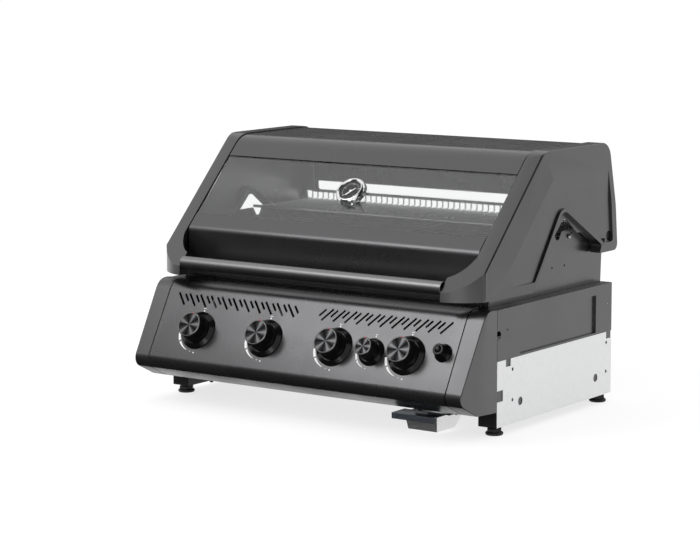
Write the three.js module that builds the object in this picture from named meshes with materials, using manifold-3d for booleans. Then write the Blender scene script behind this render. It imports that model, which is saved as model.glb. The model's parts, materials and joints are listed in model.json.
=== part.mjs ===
// Built-in gas grill: a firebox on levelling feet, a glazed lid between two cast ends, and a sloping
// control panel with four large knobs, one small knob and an igniter.
// Millimetres. X runs across the grill, Y to its back and Z up from the ground.

import * as THREE from 'three';
import { mergeVertices } from 'three/addons/utils/BufferGeometryUtils.js';
import Module from 'manifold-3d';

const wasm = await Module();
wasm.setup();

// Shared clearances and walls
const gap = 0.3;
const runningGap = 0.6;
const overrun = 2;
const sheetWall = 1.5;
const plateWall = 2;
const castWall = 3.5;
const cutterSize = 1500;

// Facets of round forms: how far an arc's chords may fall short, and the sides of turned pieces
const arcTolerance = 0.3;
const discSides = 16;
const tubeSides = 12;
const smallSides = 8;
const elbowSteps = 3;

// Body
const bodyHalfWidth = 390;
const bodyDepth = 432;
const bodyFloorZ = 20;
const plateTopZ = 146;
const sideTopZ = 244;

// Base frame
const railWidth = 40;
const railTopZ = 60;
const bracketTopZ = 49;
const crossDepth = 30;
const crossFrontY = 60;
const crossMidInset = 196;
const crossRearInset = 42;
const crossMidY = bodyDepth - crossMidInset;
const crossRearY = bodyDepth - crossRearInset;
const crossBottomZ = 46;

// Levelling feet
const groundZ = 3.2;
const footDiscD = 34;
const footDiscH = 6.5;
const footNutD = 26;
const footNutH = 6;
const footCollarD = 14;
const footStudD = 8;
const footStudH = 32;
const footInset = 17.5;
const footFrontY = 19;
const footRearInset = 22;
const footRearY = bodyDepth - footRearInset;
const footEdge = 1.5;

// Galvanised side plate: notches and holes
const topNotchY = [31, 48];
const topNotchDepth = 14;
const frontNotchZ = [69, 90];
const cornerNotch = 21;
const smallHoleD = 7;
const smallHoleFrontY = 55;
const smallHoleRearInset = 20.3;
const smallHoleZ = [66, 124.5];
const smallHoles = [smallHoleFrontY, bodyDepth - smallHoleRearInset].flatMap((y) => smallHoleZ.map((z) => [y, z]));
const bigHoleD = 16.5;
const bigHoleFrontY = 83.5;
const bigHoleRearInset = 62;
const bigHoleZ = 59;
const bigHoles = [[bigHoleFrontY, bigHoleZ], [bodyDepth - bigHoleRearInset, bigHoleZ]];

// Side panel
const joggle = 1.8;
const deckInset = 25.4;
const deckInnerX = bodyHalfWidth - deckInset;
const pocketDepth = 5;
const pocketFrontY = 82;
const pocketRearInset = 63;
const pocketY = [pocketFrontY, bodyDepth - pocketRearInset];
const pocketZ = [150, 225];
const gripHoleD = 16;
const gripHoleY = 5;
const gripHoleZ = 196;
const pilotHoleD = 4;
const pilotFrontY = 36.7;
const pilotRearInset = 15;
const pilotZ = 202.4;
const pilotHoles = [[pilotFrontY, pilotZ], [bodyDepth - pilotRearInset, pilotZ]];

// Rear panel and its louvres
const louvreW = 90;
const louvreH = 6;
const louvrePitchX = 120;
const louvrePitchZ = 22;
const louvreColumns = 5;
const louvreRows = 3;
const louvreBottomZ = 120;

// Control panel profile: deck, sloping face, rounded nose and underside
const panelInset = 35;
const panelHalfWidth = bodyHalfWidth - panelInset;
const deckRearY = 8;
const deckZ = 247;
const faceTopY = -39.9;
const faceTopR = 35;
const noseY = -130.8;
const noseZ = 84.9;
const noseR = 20;
const noseReachShare = 1.05;
const underFrontY = -67;
const underFrontZ = 53;
const underFrontR = 6;
const underRearZ = 50;

// Screws with a domed head: under the control panel and on each side of the firebox
const screwD = 9;
const screwH = 3.2;
const panelScrewInset = 104;
const panelScrewX = panelHalfWidth - panelScrewInset;
const panelScrewY = -48;
const domeShares = [[0.42, 0.55], [0.2, 1]];
const boxScrewD = 8;
const boxScrewH = 2.4;
const boxScrewY = 307;
const boxScrewZ = 352;

// Cast panel end
const endEdgeInset = 2;
const endFoldOut = 2;
const endEdgeX = bodyHalfWidth - endEdgeInset;
const endFoldX = bodyHalfWidth + endFoldOut;
const endFoldTopY = -38;
const endFoldBottomY = -76;
const endFoldBottomZ = 81;

// Vent slots on the control panel, given on its face: across, and up from the nose
const slotCount = 11;
const slotMiddleX = 43.7;
const slotW = 3.4;
const slotTilt = THREE.MathUtils.degToRad(41);
const longSlot = { inset: 38.3, up: 124.2, length: 32 };
const shortSlot = { inset: 50.5, up: 127.7, length: 18 };
const slotPitch = (panelHalfWidth - longSlot.inset - slotMiddleX) / (slotCount - 1);

// Knobs, their bezels and stems: across, up the face, and standing out from it
const knobUp = 61.7;
const smallKnobUp = 60.2;
const knobCount = 4;
const firstKnobInset = 105;
const lastKnobInset = 107;
const firstKnobX = firstKnobInset - panelHalfWidth;
const lastKnobX = panelHalfWidth - lastKnobInset;
const knobPitch = (lastKnobX - firstKnobX) / (knobCount - 1);
const knobXs = Array.from({ length: knobCount }, (_, i) => firstKnobX + i * knobPitch);
const smallKnobShare = 0.48;
const smallKnobX = lastKnobX - knobPitch * smallKnobShare;
const bigKnob = { capD: 50, bodyD: 54, skirtD: 57, bezelD: 78, bezelTopD: 61, height: 35, waist: 10 };
const smallKnob = { capD: 35, bodyD: 38, skirtD: 40, bezelD: 55, bezelTopD: 43.5, height: 34, waist: 10 };
const knobBaseOff = 7;
const bezelH = 7;
const bezelRim = 2.5;
const knobEdge = 1.6;
const capRecess = 0.8;
const stemD = 8;
const stemKnobOff = 26;
const stemValveOff = -20;
const stemHoleD = 13;

// Igniter
const igniterInset = 30;
const igniterX = panelHalfWidth - igniterInset;
const igniterUp = 75.2;
const igniterBaseD = 36;
const igniterNoseD = 24;
const igniterH = 22;
const igniterWall = 5;
const buttonD = 12;
const buttonOff = 26;
const buttonTailOff = -8;

// Gas manifold and valves, placed in the panel face's own directions
const valveD = 24;
const valveFrontOff = -5;
const valveRearOff = -46;
const manifoldUp = 39.2;
const manifoldOff = -30;
const manifoldD = 22;
const manifoldOverhang = 40;
const manifoldHalfLength = Math.max(-firstKnobX, lastKnobX) + manifoldOverhang;
const spudD = 9;

// Burners
const burnerD = 26;
const burnerWall = 1.5;
const burnerMouthY = -50;
const burnerMouthZ = 160;
const burnerBendR = 50;
const burnerRearInset = 26;
const searHalfWidth = 30;
const searFrontY = 100;
const searRearInset = 101;
const searTopZ = 240;
const searSlots = 9;
const searSlotW = 5;
const searMargin = 8;

// Firebox
const fireboxBottomZ = 188;
const fireboxWaistZ = 246;
const fireboxTopZ = 362;
const fireboxFrontTopZ = 340;
const fireboxInset = 29;
const fireboxFlare = 3;
const fireboxBottomX = bodyHalfWidth - fireboxInset;
const fireboxWaistX = fireboxBottomX + fireboxFlare;
const fireboxTopX = fireboxWaistX + fireboxFlare;
const fireboxFrontY = 10;
const fireboxRearInset = 1;
const fireboxLean = 6;
const fireboxRearY = bodyDepth - fireboxRearInset;
const fireboxRearTopY = fireboxRearY + fireboxLean;
const burnerRearY = fireboxRearY - burnerRearInset;
const searY = [searFrontY, fireboxRearY - searRearInset];
const ledgeDepth = 12;
const tamerLedgeZ = 262;
const grateLedgeZ = 320;
const spitY = 256;
const spitTopW = 34;
const spitBottomR = 5;
const spitBottomZ = 345.5;
const boxHoleD = 5;
const boxHoles = [[238, 293], [285, 293]];

// Flame tamers
const tamerHalfWidth = 50;
const tamerRise = 26;

// Grease pan
const panRimZ = 186;
const panOutletZ = 66;
const panOutletHalfX = 22;
const panOutletHalfY = 8;
const panOutletY = 8;
const panSpoutZ = 42;
const panInset = 4;

// Drip tray and its handle
const trayInset = 100;
const trayWidth = 73;
const trayTaper = { left: 7, right: 1 };
const trayRightX = bodyHalfWidth - trayInset;
const trayTop = { x: [trayRightX - trayWidth, trayRightX], y: [-52, 44], z: 38.4 };
const trayLow = { x: [trayTop.x[0] + trayTaper.left, trayTop.x[1] - trayTaper.right], y: [-50, 12], z: 9 };
const trayWall = 1.2;
const trayRim = 9;
const trayHandleOut = { left: 20.3, right: 4.5 };
const trayHandleX = [trayTop.x[0] - trayHandleOut.left, trayTop.x[1] + trayHandleOut.right];
const trayHandleY = [-66, -22];
const trayHandleDrop = 11.7;
const trayHandleR = 6;
const guideGap = 0.8;
const guideLedge = 6;

// Cooking grates
const grateTopZ = 335;
const grateFrame = 9;
const grateBarW = 8;
const grateSlots = 17;
const grateMargin = 2;

// Warming rack
const rackFrontY = 240;
const rackRearInset = 8;
const rackRearY = bodyDepth - rackRearInset;
const rackTopZ = 384;
const rackWire = 3;
const rackRod = 6;
const rackRail = 4;
const rackPitch = 14;
const rackInset = 11;
const rackHolderInset = 0.5;
const rackHalfWidth = fireboxBottomX - rackInset;
const rackHolderX = fireboxTopX - rackHolderInset;

// Lid: the cast ends' outline, and the sheet between them
const hingeInset = 14;
const hingeY = bodyDepth - hingeInset;
const hingeZ = 339;
const lidInnerInset = 41;
const lidEdgeInset = 5.5;
const lidSideOut = 3;
const lidFlangeGap = 2.5;
const lidPocketDepth = 4.5;
const lidInnerX = bodyHalfWidth - lidInnerInset;
const lidEdgeX = bodyHalfWidth - lidEdgeInset;
const lidSideX = bodyHalfWidth + lidSideOut;
const lidFlangeX = fireboxTopX + lidFlangeGap;
const pocketFloorX = lidSideX - lidPocketDepth;
const legFrontY = -31;
const legBottomZ = 261;
const legRearY = 125;
const legSlopeZ = 316;
const lidRise = 179;
const lidTopFrontY = 178;
const lidTopFrontR = 60;
const lidRearTopInset = 6;
const lidRearTopY = bodyDepth - lidRearTopInset;
const lidRearTopR = 28;
const lidRearOut = 15.5;
const lidRearBottomY = bodyDepth + lidRearOut;
const tabBottomZ = 308.5;
const tabRearR = 13;
const notchApexY = 233.5;
const notchApexZ = 410.5;
const notchApexR = 22;
const noseTabInset = 34;
const noseTabY = hingeY - noseTabInset;
const noseTabZ = 325;
const noseTabRun = 8;
const noseTabFrontY = noseTabY - noseTabRun;
const smallR = 5;
const sheetDrop = 2.5;
const lidRearEdgeZ = 381;
const exhaustZ = [385, 404];
const exhaustInset = 12;
const exhaustHalf = lidInnerX - exhaustInset;
const exhaustR = 4;
const pocketRims = { front: 86, slope: 55, top: 53, rear: 17, bottom: 19, notch: 7 };
const pocketR = 6;
const facetShare = 0.075;
const legFacetShare = 0.0465;
const bandDrop = 5;

// Lobes that carry the handle; their bends are given inward from the lid's edge
const lobeInset = 38.5;
const lobeInnerX = lidInnerX - lobeInset;
const lobeFrontY = -74;
const lobeTipY = -49.5;
const lobeRearY = 5;
const lobeOuterY = -22;
const lobeTopZ = 350;
const lobeTopShares = [0.157, -0.615, 0.772];
const lobeFrontBend = [[44.5, -72], [12.5, -45]];
const lobeRootOut = 2;
const lobeRootX = lidInnerX + lobeRootOut;
const lobeInnerBend = [[33.5, -17], [51.5, -40]];
const lobeSteps = 6;

// Handle, window and front of the lid
const handleD = 28;
const handleWall = 1.6;
const handleY = -60.5;
const handleZ = 284.5;
const slopeZ = 346;
const lidTopZ = slopeZ + lidRise;
const glassWall = 4;
const glassFrontY = 17;
const glassRearY = 149;
const shellFrontY = 137;
const frontTopY = 28;
const creaseY = 10;
const creaseR = 9;
const frontSheetY = 2;
const frontSheetZ = 251;
const frontLipY = 8;
const frontLipR = 3;

// Thermometer
const dialY = 84.4;
const bezelOuterD = 64;
const bezelInnerD = 46;
const bezelTop = 14;
const bezelEdge = 4;
const dialTop = 10.5;
const probeD = 8;
const probeLength = 55;
const nutD = 20;
const nutH = 6;

// Hinge pins
const pinD = 8;
const pinPlay = 0.5;
const pinCollarD = 14;
const pinHeadD = 17;
const pinHeadH = 2;
const pinTail = 3;
const pinInnerX = fireboxBottomX - pinTail;
const bossInset = 9;
const bossX = bodyHalfWidth - bossInset;
const pinCollarX = [fireboxTopX + gap, bossX - gap];
const bossD = 30;
const recessD = 20;
const recessDepth = 5;

// Lengths worked out from the values above
const lidRearLean = (lidRearBottomY - lidRearTopY) / (lidTopZ - tabBottomZ);
const lidRearAt = (z) => lidRearTopY + (lidTopZ - z) * lidRearLean;
const footX = bodyHalfWidth - footInset;

// Materials
const paint = (color, roughness, metalness) => new THREE.MeshStandardMaterial({ color, roughness, metalness });
const finish = {
  anthracite: () => paint(0x3b3b3d, 0.55, 0.35),
  black: () => paint(0x141415, 0.5, 0.3),
  blackGloss: () => paint(0x0c0c0d, 0.18, 0.2),
  galvanised: () => paint(0xc9cbcc, 0.45, 0.85),
  steel: () => paint(0xa9abac, 0.35, 0.95),
  chrome: () => paint(0xdcdcdc, 0.12, 1),
  iron: () => paint(0x202021, 0.75, 0.3),
  enamel: () => paint(0x2a2a2c, 0.5, 0.3),
  brass: () => paint(0xb08d45, 0.35, 0.9),
  glass: () => paint(0x6f7375, 0.08, 0.1),
  blueGloss: () => paint(0x4b5a66, 0.2, 0.6),
  dial: () => paint(0x111214, 0.3, 0.2),
};

// A closed solid from a geometry, and a geometry from a solid
function toSolid(geometry) {
  const bare = new THREE.BufferGeometry();
  bare.setAttribute('position', geometry.getAttribute('position').clone());
  if (geometry.index) bare.setIndex(geometry.index.clone());
  const merged = mergeVertices(bare);
  return new wasm.Manifold(new wasm.Mesh({
    numProp: 3,
    vertProperties: Float32Array.from(merged.attributes.position.array),
    triVerts: Uint32Array.from(merged.index.array),
  }));
}

function toGeometry(solid) {
  const mesh = solid.getMesh();
  const geometry = new THREE.BufferGeometry();
  geometry.setAttribute('position', new THREE.BufferAttribute(Float32Array.from(mesh.vertProperties), 3));
  geometry.setIndex(new THREE.BufferAttribute(Uint32Array.from(mesh.triVerts), 1));
  const flat = geometry.toNonIndexed();
  flat.computeVertexNormals();
  return flat;
}

const join = (first, ...rest) => rest.reduce((sum, next) => sum.add(next), first);
const cut = (first, ...rest) => rest.reduce((sum, next) => sum.subtract(next), first);

// Directions of the sloping control panel face and of the lid's sloping front
const faceRun = new THREE.Vector2(faceTopY - noseY, deckZ - noseZ).normalize();
const faceStart = new THREE.Vector3(0, noseY, noseZ);
const noseReach = noseR * noseReachShare;
const faceMatrix = new THREE.Matrix4().makeBasis(
  new THREE.Vector3(1, 0, 0),
  new THREE.Vector3(0, faceRun.x, faceRun.y),
  new THREE.Vector3(0, -faceRun.y, faceRun.x),
).setPosition(faceStart.clone().add(new THREE.Vector3(0, faceRun.x, faceRun.y).multiplyScalar(noseReach)));
const slopeMatrix = new THREE.Matrix4().makeBasis(
  new THREE.Vector3(1, 0, 0),
  new THREE.Vector3(0, 1, 1).normalize(),
  new THREE.Vector3(0, -1, 1).normalize(),
).setPosition(0, 0, slopeZ);

const facePoint = (x, up, off) => new THREE.Vector3(x, up, off).applyMatrix4(faceMatrix);
const slopePoint = (x, y, off) => new THREE.Vector3(x, y * Math.SQRT2, off).applyMatrix4(slopeMatrix);

// Outlines: corners are [across, up, radius]
function outline(corners, closed) {
  const points = [];
  corners.forEach(([a, b, radius = 0], i) => {
    const here = new THREE.Vector2(a, b);
    const isEnd = !closed && (i === 0 || i === corners.length - 1);
    if (isEnd || radius <= 0) {
      points.push(here);
      return;
    }
    const last = corners[(i + corners.length - 1) % corners.length];
    const next = corners[(i + 1) % corners.length];
    const back = new THREE.Vector2(last[0], last[1]).sub(here).normalize();
    const ahead = new THREE.Vector2(next[0], next[1]).sub(here).normalize();
    const half = Math.acos(THREE.MathUtils.clamp(back.dot(ahead), -1, 1)) / 2;
    const centre = back.clone().add(ahead).normalize().multiplyScalar(radius / Math.sin(half)).add(here);
    const from = back.clone().multiplyScalar(radius / Math.tan(half)).add(here).sub(centre);
    const turn = (Math.PI - 2 * half) * Math.sign(ahead.cross(back));
    const chordTurn = 2 * Math.acos(Math.max(0, 1 - arcTolerance / radius));
    const steps = Math.max(1, Math.ceil(Math.abs(turn) / chordTurn));
    for (let k = 0; k <= steps; k += 1) {
      points.push(from.clone().rotateAround(new THREE.Vector2(), turn * k / steps).add(centre));
    }
  });
  return points;
}

// Corners moved to the left of their path, each edge by its own distance
function inset(corners, distances, closed) {
  const count = corners.length;
  const edges = corners.map(([a, b], i) => {
    const [c, d] = corners[(i + 1) % count];
    const along = new THREE.Vector2(c - a, d - b).normalize();
    const left = new THREE.Vector2(-along.y, along.x);
    const distance = Array.isArray(distances) ? distances[i] : distances;
    return { start: new THREE.Vector2(a, b).addScaledVector(left, distance), along, left, distance };
  });
  return corners.map(([a, b, radius = 0], i) => {
    const after = edges[i];
    const before = edges[(i + count - 1) % count];
    if (!closed && i === 0) return [after.start.x, after.start.y, 0];
    if (!closed && i === count - 1) {
      const end = new THREE.Vector2(a, b).addScaledVector(before.left, before.distance);
      return [end.x, end.y, 0];
    }
    const across = before.along.cross(after.along);
    const t = after.start.clone().sub(before.start).cross(after.along) / across;
    const corner = before.start.clone().addScaledVector(before.along, t);
    const depth = Math.min(before.distance, after.distance);
    return [corner.x, corner.y, Math.max(0, across > 0 ? radius - depth : radius + depth)];
  });
}

// A sheet that follows an open path and lies to its left
function sheetShape(corners, wall) {
  const outer = outline(corners, false);
  const inner = outline(inset(corners, wall, false), false).reverse();
  return new THREE.Shape([...outer, ...inner]);
}

const closedShape = (corners) => new THREE.Shape(outline(corners, true));

function roundHole(shape, across, up, diameter, sides = smallSides) {
  const ring = Array.from({ length: sides }, (_, i) => {
    const angle = (i / sides) * Math.PI * 2;
    return new THREE.Vector2(across + Math.cos(angle) * diameter / 2, up + Math.sin(angle) * diameter / 2);
  });
  shape.holes.push(new THREE.Path(ring));
}

// Extrusions along each axis: shapes are drawn as (Y, Z), (X, Z) and (X, Y)
const alongX = new THREE.Matrix4().makeBasis(
  new THREE.Vector3(0, 1, 0), new THREE.Vector3(0, 0, 1), new THREE.Vector3(1, 0, 0));
const alongY = new THREE.Matrix4().makeBasis(
  new THREE.Vector3(1, 0, 0), new THREE.Vector3(0, 0, 1), new THREE.Vector3(0, -1, 0));

function extruded(shape, depth) {
  return new THREE.ExtrudeGeometry(shape, { depth, bevelEnabled: false, curveSegments: lobeSteps });
}
const extrudeX = (shape, x0, x1) => extruded(shape, x1 - x0).applyMatrix4(alongX).translate(x0, 0, 0);
const extrudeY = (shape, y0, y1) => extruded(shape, y1 - y0).applyMatrix4(alongY).translate(0, y1, 0);
const extrudeZ = (shape, z0, z1) => extruded(shape, z1 - z0).translate(0, 0, z0);

function box([x0, x1], [y0, y1], [z0, z1]) {
  return new THREE.BoxGeometry(x1 - x0, y1 - y0, z1 - z0)
    .translate((x0 + x1) / 2, (y0 + y1) / 2, (z0 + z1) / 2);
}

// Revolved about Z: profile points are [radius, height]
function turned(profile, sides = discSides) {
  const points = profile.map(([radius, height]) => new THREE.Vector2(radius, height));
  return new THREE.LatheGeometry(points, sides).rotateX(Math.PI / 2);
}

const rod = (diameter, z0, z1, sides = tubeSides) => turned(
  [[0, z0], [diameter / 2, z0], [diameter / 2, z1], [0, z1]], sides);
const rodX = (diameter, x0, x1, y, z, sides = tubeSides) => rod(diameter, x0, x1, sides)
  .rotateY(Math.PI / 2).translate(0, y, z);
const rodY = (diameter, y0, y1, x, z, sides = tubeSides) => rod(diameter, -y1, -y0, sides)
  .rotateX(Math.PI / 2).translate(x, 0, z);

// A domed screw head whose rim lies at height zero
const screwHead = (diameter, height) => turned([
  [0, -height], [diameter / 2, -height], [diameter / 2, 0],
  ...domeShares.map(([across, up]) => [diameter * across, height * up]),
  [0, height],
], smallSides);

// All that lies beyond a plane
function beyond(point, normal) {
  const turn = new THREE.Quaternion().setFromUnitVectors(new THREE.Vector3(0, 0, 1), normal.clone().normalize());
  return toSolid(new THREE.BoxGeometry(cutterSize, cutterSize, cutterSize)
    .translate(0, 0, cutterSize / 2).applyQuaternion(turn).translate(point.x, point.y, point.z));
}

function mirrorX(geometry) {
  const copy = geometry.index ? geometry.toNonIndexed() : geometry.clone();
  const position = copy.getAttribute('position');
  for (let i = 0; i < position.count; i += 3) {
    const a = new THREE.Vector3().fromBufferAttribute(position, i);
    const b = new THREE.Vector3().fromBufferAttribute(position, i + 1);
    const c = new THREE.Vector3().fromBufferAttribute(position, i + 2);
    [a, c, b].forEach((point, k) => position.setXYZ(i + k, -point.x, point.y, point.z));
  }
  copy.computeVertexNormals();
  return copy;
}

const grill = new THREE.Group();

function add(name, shape, material, parent = grill) {
  const geometry = shape.isBufferGeometry ? shape : toGeometry(shape);
  const mesh = new THREE.Mesh(geometry, material);
  mesh.name = name;
  parent.add(mesh);
  return mesh;
}

function addPair(name, shape, material) {
  const geometry = shape.isBufferGeometry ? shape : toGeometry(shape);
  add(`${name}_right`, geometry, material);
  add(`${name}_left`, mirrorX(geometry), material.clone());
}

// A group whose Z axis stands square out of the control panel
function onFace(x, up) {
  const group = new THREE.Group();
  group.applyMatrix4(faceMatrix.clone().setPosition(facePoint(x, up, 0)));
  grill.add(group);
  return group;
}

function onSlope(x, y) {
  const group = new THREE.Group();
  group.applyMatrix4(slopeMatrix.clone().setPosition(slopePoint(x, y, 0)));
  grill.add(group);
  return group;
}

// Base frame: two channels, three cross angles and the drip tray's guides
function baseFrame() {
  const inner = bodyHalfWidth - railWidth;
  const outer = bodyHalfWidth - joggle - sheetWall - gap;
  const channel = sheetShape([
    [outer, railTopZ], [inner, railTopZ], [inner, bodyFloorZ], [outer, bodyFloorZ],
  ], plateWall);
  const railFrontY = -gap - plateWall;
  const stud = rod(footStudD + runningGap * 2, bodyFloorZ - overrun, bodyFloorZ + plateWall + overrun, smallSides);
  const rail = cut(
    join(
      toSolid(extrudeY(channel, railFrontY, crossRearY + crossDepth)),
      toSolid(box([inner, bodyHalfWidth - gap], [railFrontY, -gap], [bodyFloorZ, bracketTopZ])),
    ),
    toSolid(box([inner - overrun, bodyHalfWidth], [railFrontY - overrun, 0], [bracketTopZ, railTopZ + overrun])),
    toSolid(stud.clone().translate(footX, footFrontY, 0)),
    toSolid(stud.clone().translate(footX, footRearY, 0)),
  );
  const left = toSolid(mirrorX(toGeometry(rail)));
  const crosses = [crossFrontY, crossMidY, crossRearY].map((y) => toSolid(extrudeX(sheetShape([
    [y, railTopZ], [y, crossBottomZ], [y + crossDepth, crossBottomZ],
  ], plateWall), -inner - plateWall / 2, inner + plateWall / 2)));
  const shelfZ = trayTop.z - trayWall - gap - sheetWall;
  const guides = [-1, 1].flatMap((side) => {
    const edge = side < 0 ? trayTop.x[0] - trayRim - guideGap : trayTop.x[1] + trayRim + guideGap;
    const across = (reach) => [Math.min(edge, edge + side * reach), Math.max(edge, edge + side * reach)];
    return [
      box(across(sheetWall), [0, crossFrontY + crossDepth], [shelfZ, crossBottomZ + plateWall / 2]),
      box([Math.min(edge - side * guideLedge, edge + side * sheetWall),
        Math.max(edge - side * guideLedge, edge + side * sheetWall)],
      [0, crossFrontY + crossDepth], [shelfZ, shelfZ + sheetWall]),
    ];
  }).map(toSolid);
  return join(rail, left, ...crosses, ...guides);
}

function footGeometry() {
  const rimR = footDiscD / 2;
  const discTop = groundZ + footDiscH;
  const nutTop = discTop + footNutH;
  return turned([
    [0, groundZ], [rimR - footEdge, groundZ], [rimR, groundZ + footEdge], [rimR, discTop - footEdge],
    [footNutD / 2, discTop], [footNutD / 2, nutTop - footEdge], [footNutD / 2 - footEdge, nutTop],
    [footCollarD / 2, nutTop], [footCollarD / 2, bodyFloorZ - gap], [footStudD / 2, bodyFloorZ - gap],
    [footStudD / 2, bodyFloorZ + footStudH], [0, bodyFloorZ + footStudH],
  ], tubeSides);
}

function sidePlate() {
  const shape = new THREE.Shape([
    [0, bodyFloorZ], [bodyDepth, bodyFloorZ], [bodyDepth, plateTopZ - topNotchDepth],
    [bodyDepth - cornerNotch, plateTopZ - topNotchDepth], [bodyDepth - cornerNotch, plateTopZ],
    [topNotchY[1], plateTopZ], [topNotchY[1], plateTopZ - topNotchDepth],
    [topNotchY[0], plateTopZ - topNotchDepth], [topNotchY[0], plateTopZ], [0, plateTopZ],
    [0, frontNotchZ[1]], [cornerNotch, frontNotchZ[1]], [cornerNotch, frontNotchZ[0]], [0, frontNotchZ[0]],
  ].map(([y, z]) => new THREE.Vector2(y, z)));
  smallHoles.forEach(([y, z]) => roundHole(shape, y, z, smallHoleD));
  bigHoles.forEach(([y, z]) => roundHole(shape, y, z, bigHoleD, tubeSides));
  return extrudeX(shape, bodyHalfWidth - sheetWall, bodyHalfWidth);
}

function sidePanel() {
  const behind = bodyHalfWidth - joggle;
  const section = sheetShape([
    [deckInnerX, sideTopZ], [bodyHalfWidth, sideTopZ, sheetWall], [bodyHalfWidth, plateTopZ + gap],
    [behind, plateTopZ + gap], [behind, bodyFloorZ + plateWall],
  ].reverse(), sheetWall);
  const floorX = bodyHalfWidth - pocketDepth;
  const pan = cut(
    toSolid(box([floorX - sheetWall, bodyHalfWidth - sheetWall / 2],
      [pocketY[0] - sheetWall, pocketY[1] + sheetWall], [pocketZ[0] - sheetWall, pocketZ[1] + sheetWall])),
    toSolid(box([floorX, bodyHalfWidth + overrun], pocketY, pocketZ)),
  );
  const window = toSolid(box([floorX - overrun, bodyHalfWidth + overrun], pocketY, pocketZ));
  const grip = toSolid(rodX(gripHoleD, behind - sheetWall * 2, bodyHalfWidth + overrun, gripHoleY, gripHoleZ));
  const pilots = pilotHoles.map(([y, z]) => toSolid(
    rodX(pilotHoleD, behind - sheetWall * 2, bodyHalfWidth + overrun, y, z, smallSides)));
  return cut(join(cut(toSolid(extrudeY(section, 0, bodyDepth)), window), pan), grip, ...pilots);
}

function rearPanel() {
  const halfWidth = bodyHalfWidth - joggle - sheetWall - gap;
  const reach = [bodyDepth - gap - sheetWall, bodyDepth - gap];
  const slots = [];
  for (let column = 0; column < louvreColumns; column += 1) {
    for (let row = 0; row < louvreRows; row += 1) {
      const x = (column - (louvreColumns - 1) / 2) * louvrePitchX;
      const z = louvreBottomZ + row * louvrePitchZ;
      slots.push(toSolid(box([x - louvreW / 2, x + louvreW / 2], [reach[0] - overrun, reach[1] + overrun],
        [z - louvreH / 2, z + louvreH / 2])));
    }
  }
  const sheet = toSolid(box([-halfWidth, halfWidth], reach, [bodyFloorZ + plateWall, panRimZ - sheetWall - gap]));
  return cut(sheet, ...slots);
}

// Control panel
const panelPath = [
  [deckRearY, deckZ], [faceTopY, deckZ, faceTopR], [noseY, noseZ, noseR],
  [underFrontY, underFrontZ, underFrontR], [-gap - plateWall - overrun, underRearZ],
];

function controlPanel() {
  const sheet = toSolid(extrudeX(sheetShape(panelPath, sheetWall), -panelHalfWidth + gap, panelHalfWidth - gap));
  const screwZ = THREE.MathUtils.mapLinear(panelScrewY, underFrontY, -gap - plateWall, underFrontZ, underRearZ);
  const screws = [-1, 1].map((side) => toSolid(
    screwHead(screwD, screwH).rotateX(Math.PI).translate(side * panelScrewX, panelScrewY, screwZ)));
  const slots = [longSlot, shortSlot].flatMap((slot) => [-1, 1].flatMap((side) => Array.from(
    { length: slotCount },
    (_, i) => new THREE.BoxGeometry(slotW, slot.length, sheetWall * 4)
      .rotateZ(-side * slotTilt)
      .translate(side * (panelHalfWidth - slot.inset - i * slotPitch), slot.up, -sheetWall / 2),
  )));
  const holes = [...knobXs.map((x) => [x, knobUp]), [smallKnobX, smallKnobUp]]
    .map(([x, up]) => rod(stemHoleD, -sheetWall * 2, sheetWall * 2).translate(x, up, 0));
  holes.push(rod(buttonD + runningGap * 2, -sheetWall * 2, sheetWall * 2).translate(igniterX, igniterUp, 0));
  const cutters = [...slots, ...holes].map((cutter) => toSolid(cutter.applyMatrix4(faceMatrix)));
  return cut(join(sheet, ...screws), ...cutters);
}

function panelEnd() {
  const corners = [
    ...panelPath.slice(1, -1), [-gap, underRearZ], [-gap, sideTopZ - gap],
  ];
  const block = toSolid(extrudeX(closedShape(corners), panelHalfWidth, endFoldX));
  const hollow = toSolid(extrudeX(closedShape(inset(corners, castWall, true)),
    panelHalfWidth - overrun, endEdgeX - castWall));
  const edge = new THREE.Vector3(endEdgeX, faceTopY, deckZ);
  const foldTop = new THREE.Vector3(endFoldX, endFoldTopY, sideTopZ);
  const foldBottom = new THREE.Vector3(endFoldX, endFoldBottomY, endFoldBottomZ);
  const noseEdge = new THREE.Vector3(endEdgeX, noseY + noseR, noseZ - noseR);
  const frontNormal = foldTop.clone().sub(foldBottom)
    .cross(new THREE.Vector3(endEdgeX, noseY, noseZ).sub(foldBottom)).normalize();
  const underNormal = new THREE.Vector3(0, -gap - endFoldBottomY, underRearZ - endFoldBottomZ)
    .cross(noseEdge.clone().sub(foldBottom)).normalize();
  const rearNormal = new THREE.Vector3(-endFoldTopY, endFoldX - bodyHalfWidth, 0).normalize();
  const outward = (normal) => (normal.x < 0 ? normal.negate() : normal);
  return cut(block, hollow,
    beyond(foldBottom, outward(frontNormal)), beyond(foldBottom, outward(underNormal)),
    beyond(new THREE.Vector3(bodyHalfWidth, 0, edge.z), outward(rearNormal)));
}

// Knobs, stems, bezels and the igniter, each built about the panel's own normal
function knobGeometry(knob) {
  const bore = stemD / 2 + gap;
  const shoulder = knobBaseOff + knob.waist;
  return turned([
    [bore, knobBaseOff], [knob.skirtD / 2, knobBaseOff], [knob.skirtD / 2, knobBaseOff + knobEdge],
    [knob.bodyD / 2, shoulder], [knob.capD / 2 + knobEdge / 2, knob.height - knobEdge],
    [knob.capD / 2 - knobEdge / 2, knob.height],
    [knob.capD / 2 - knobEdge, knob.height], [knob.capD / 2 - knobEdge, knob.height - capRecess],
    [0, knob.height - capRecess], [0, stemKnobOff + gap], [bore, stemKnobOff + gap], [bore, knobBaseOff],
  ]);
}

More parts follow.
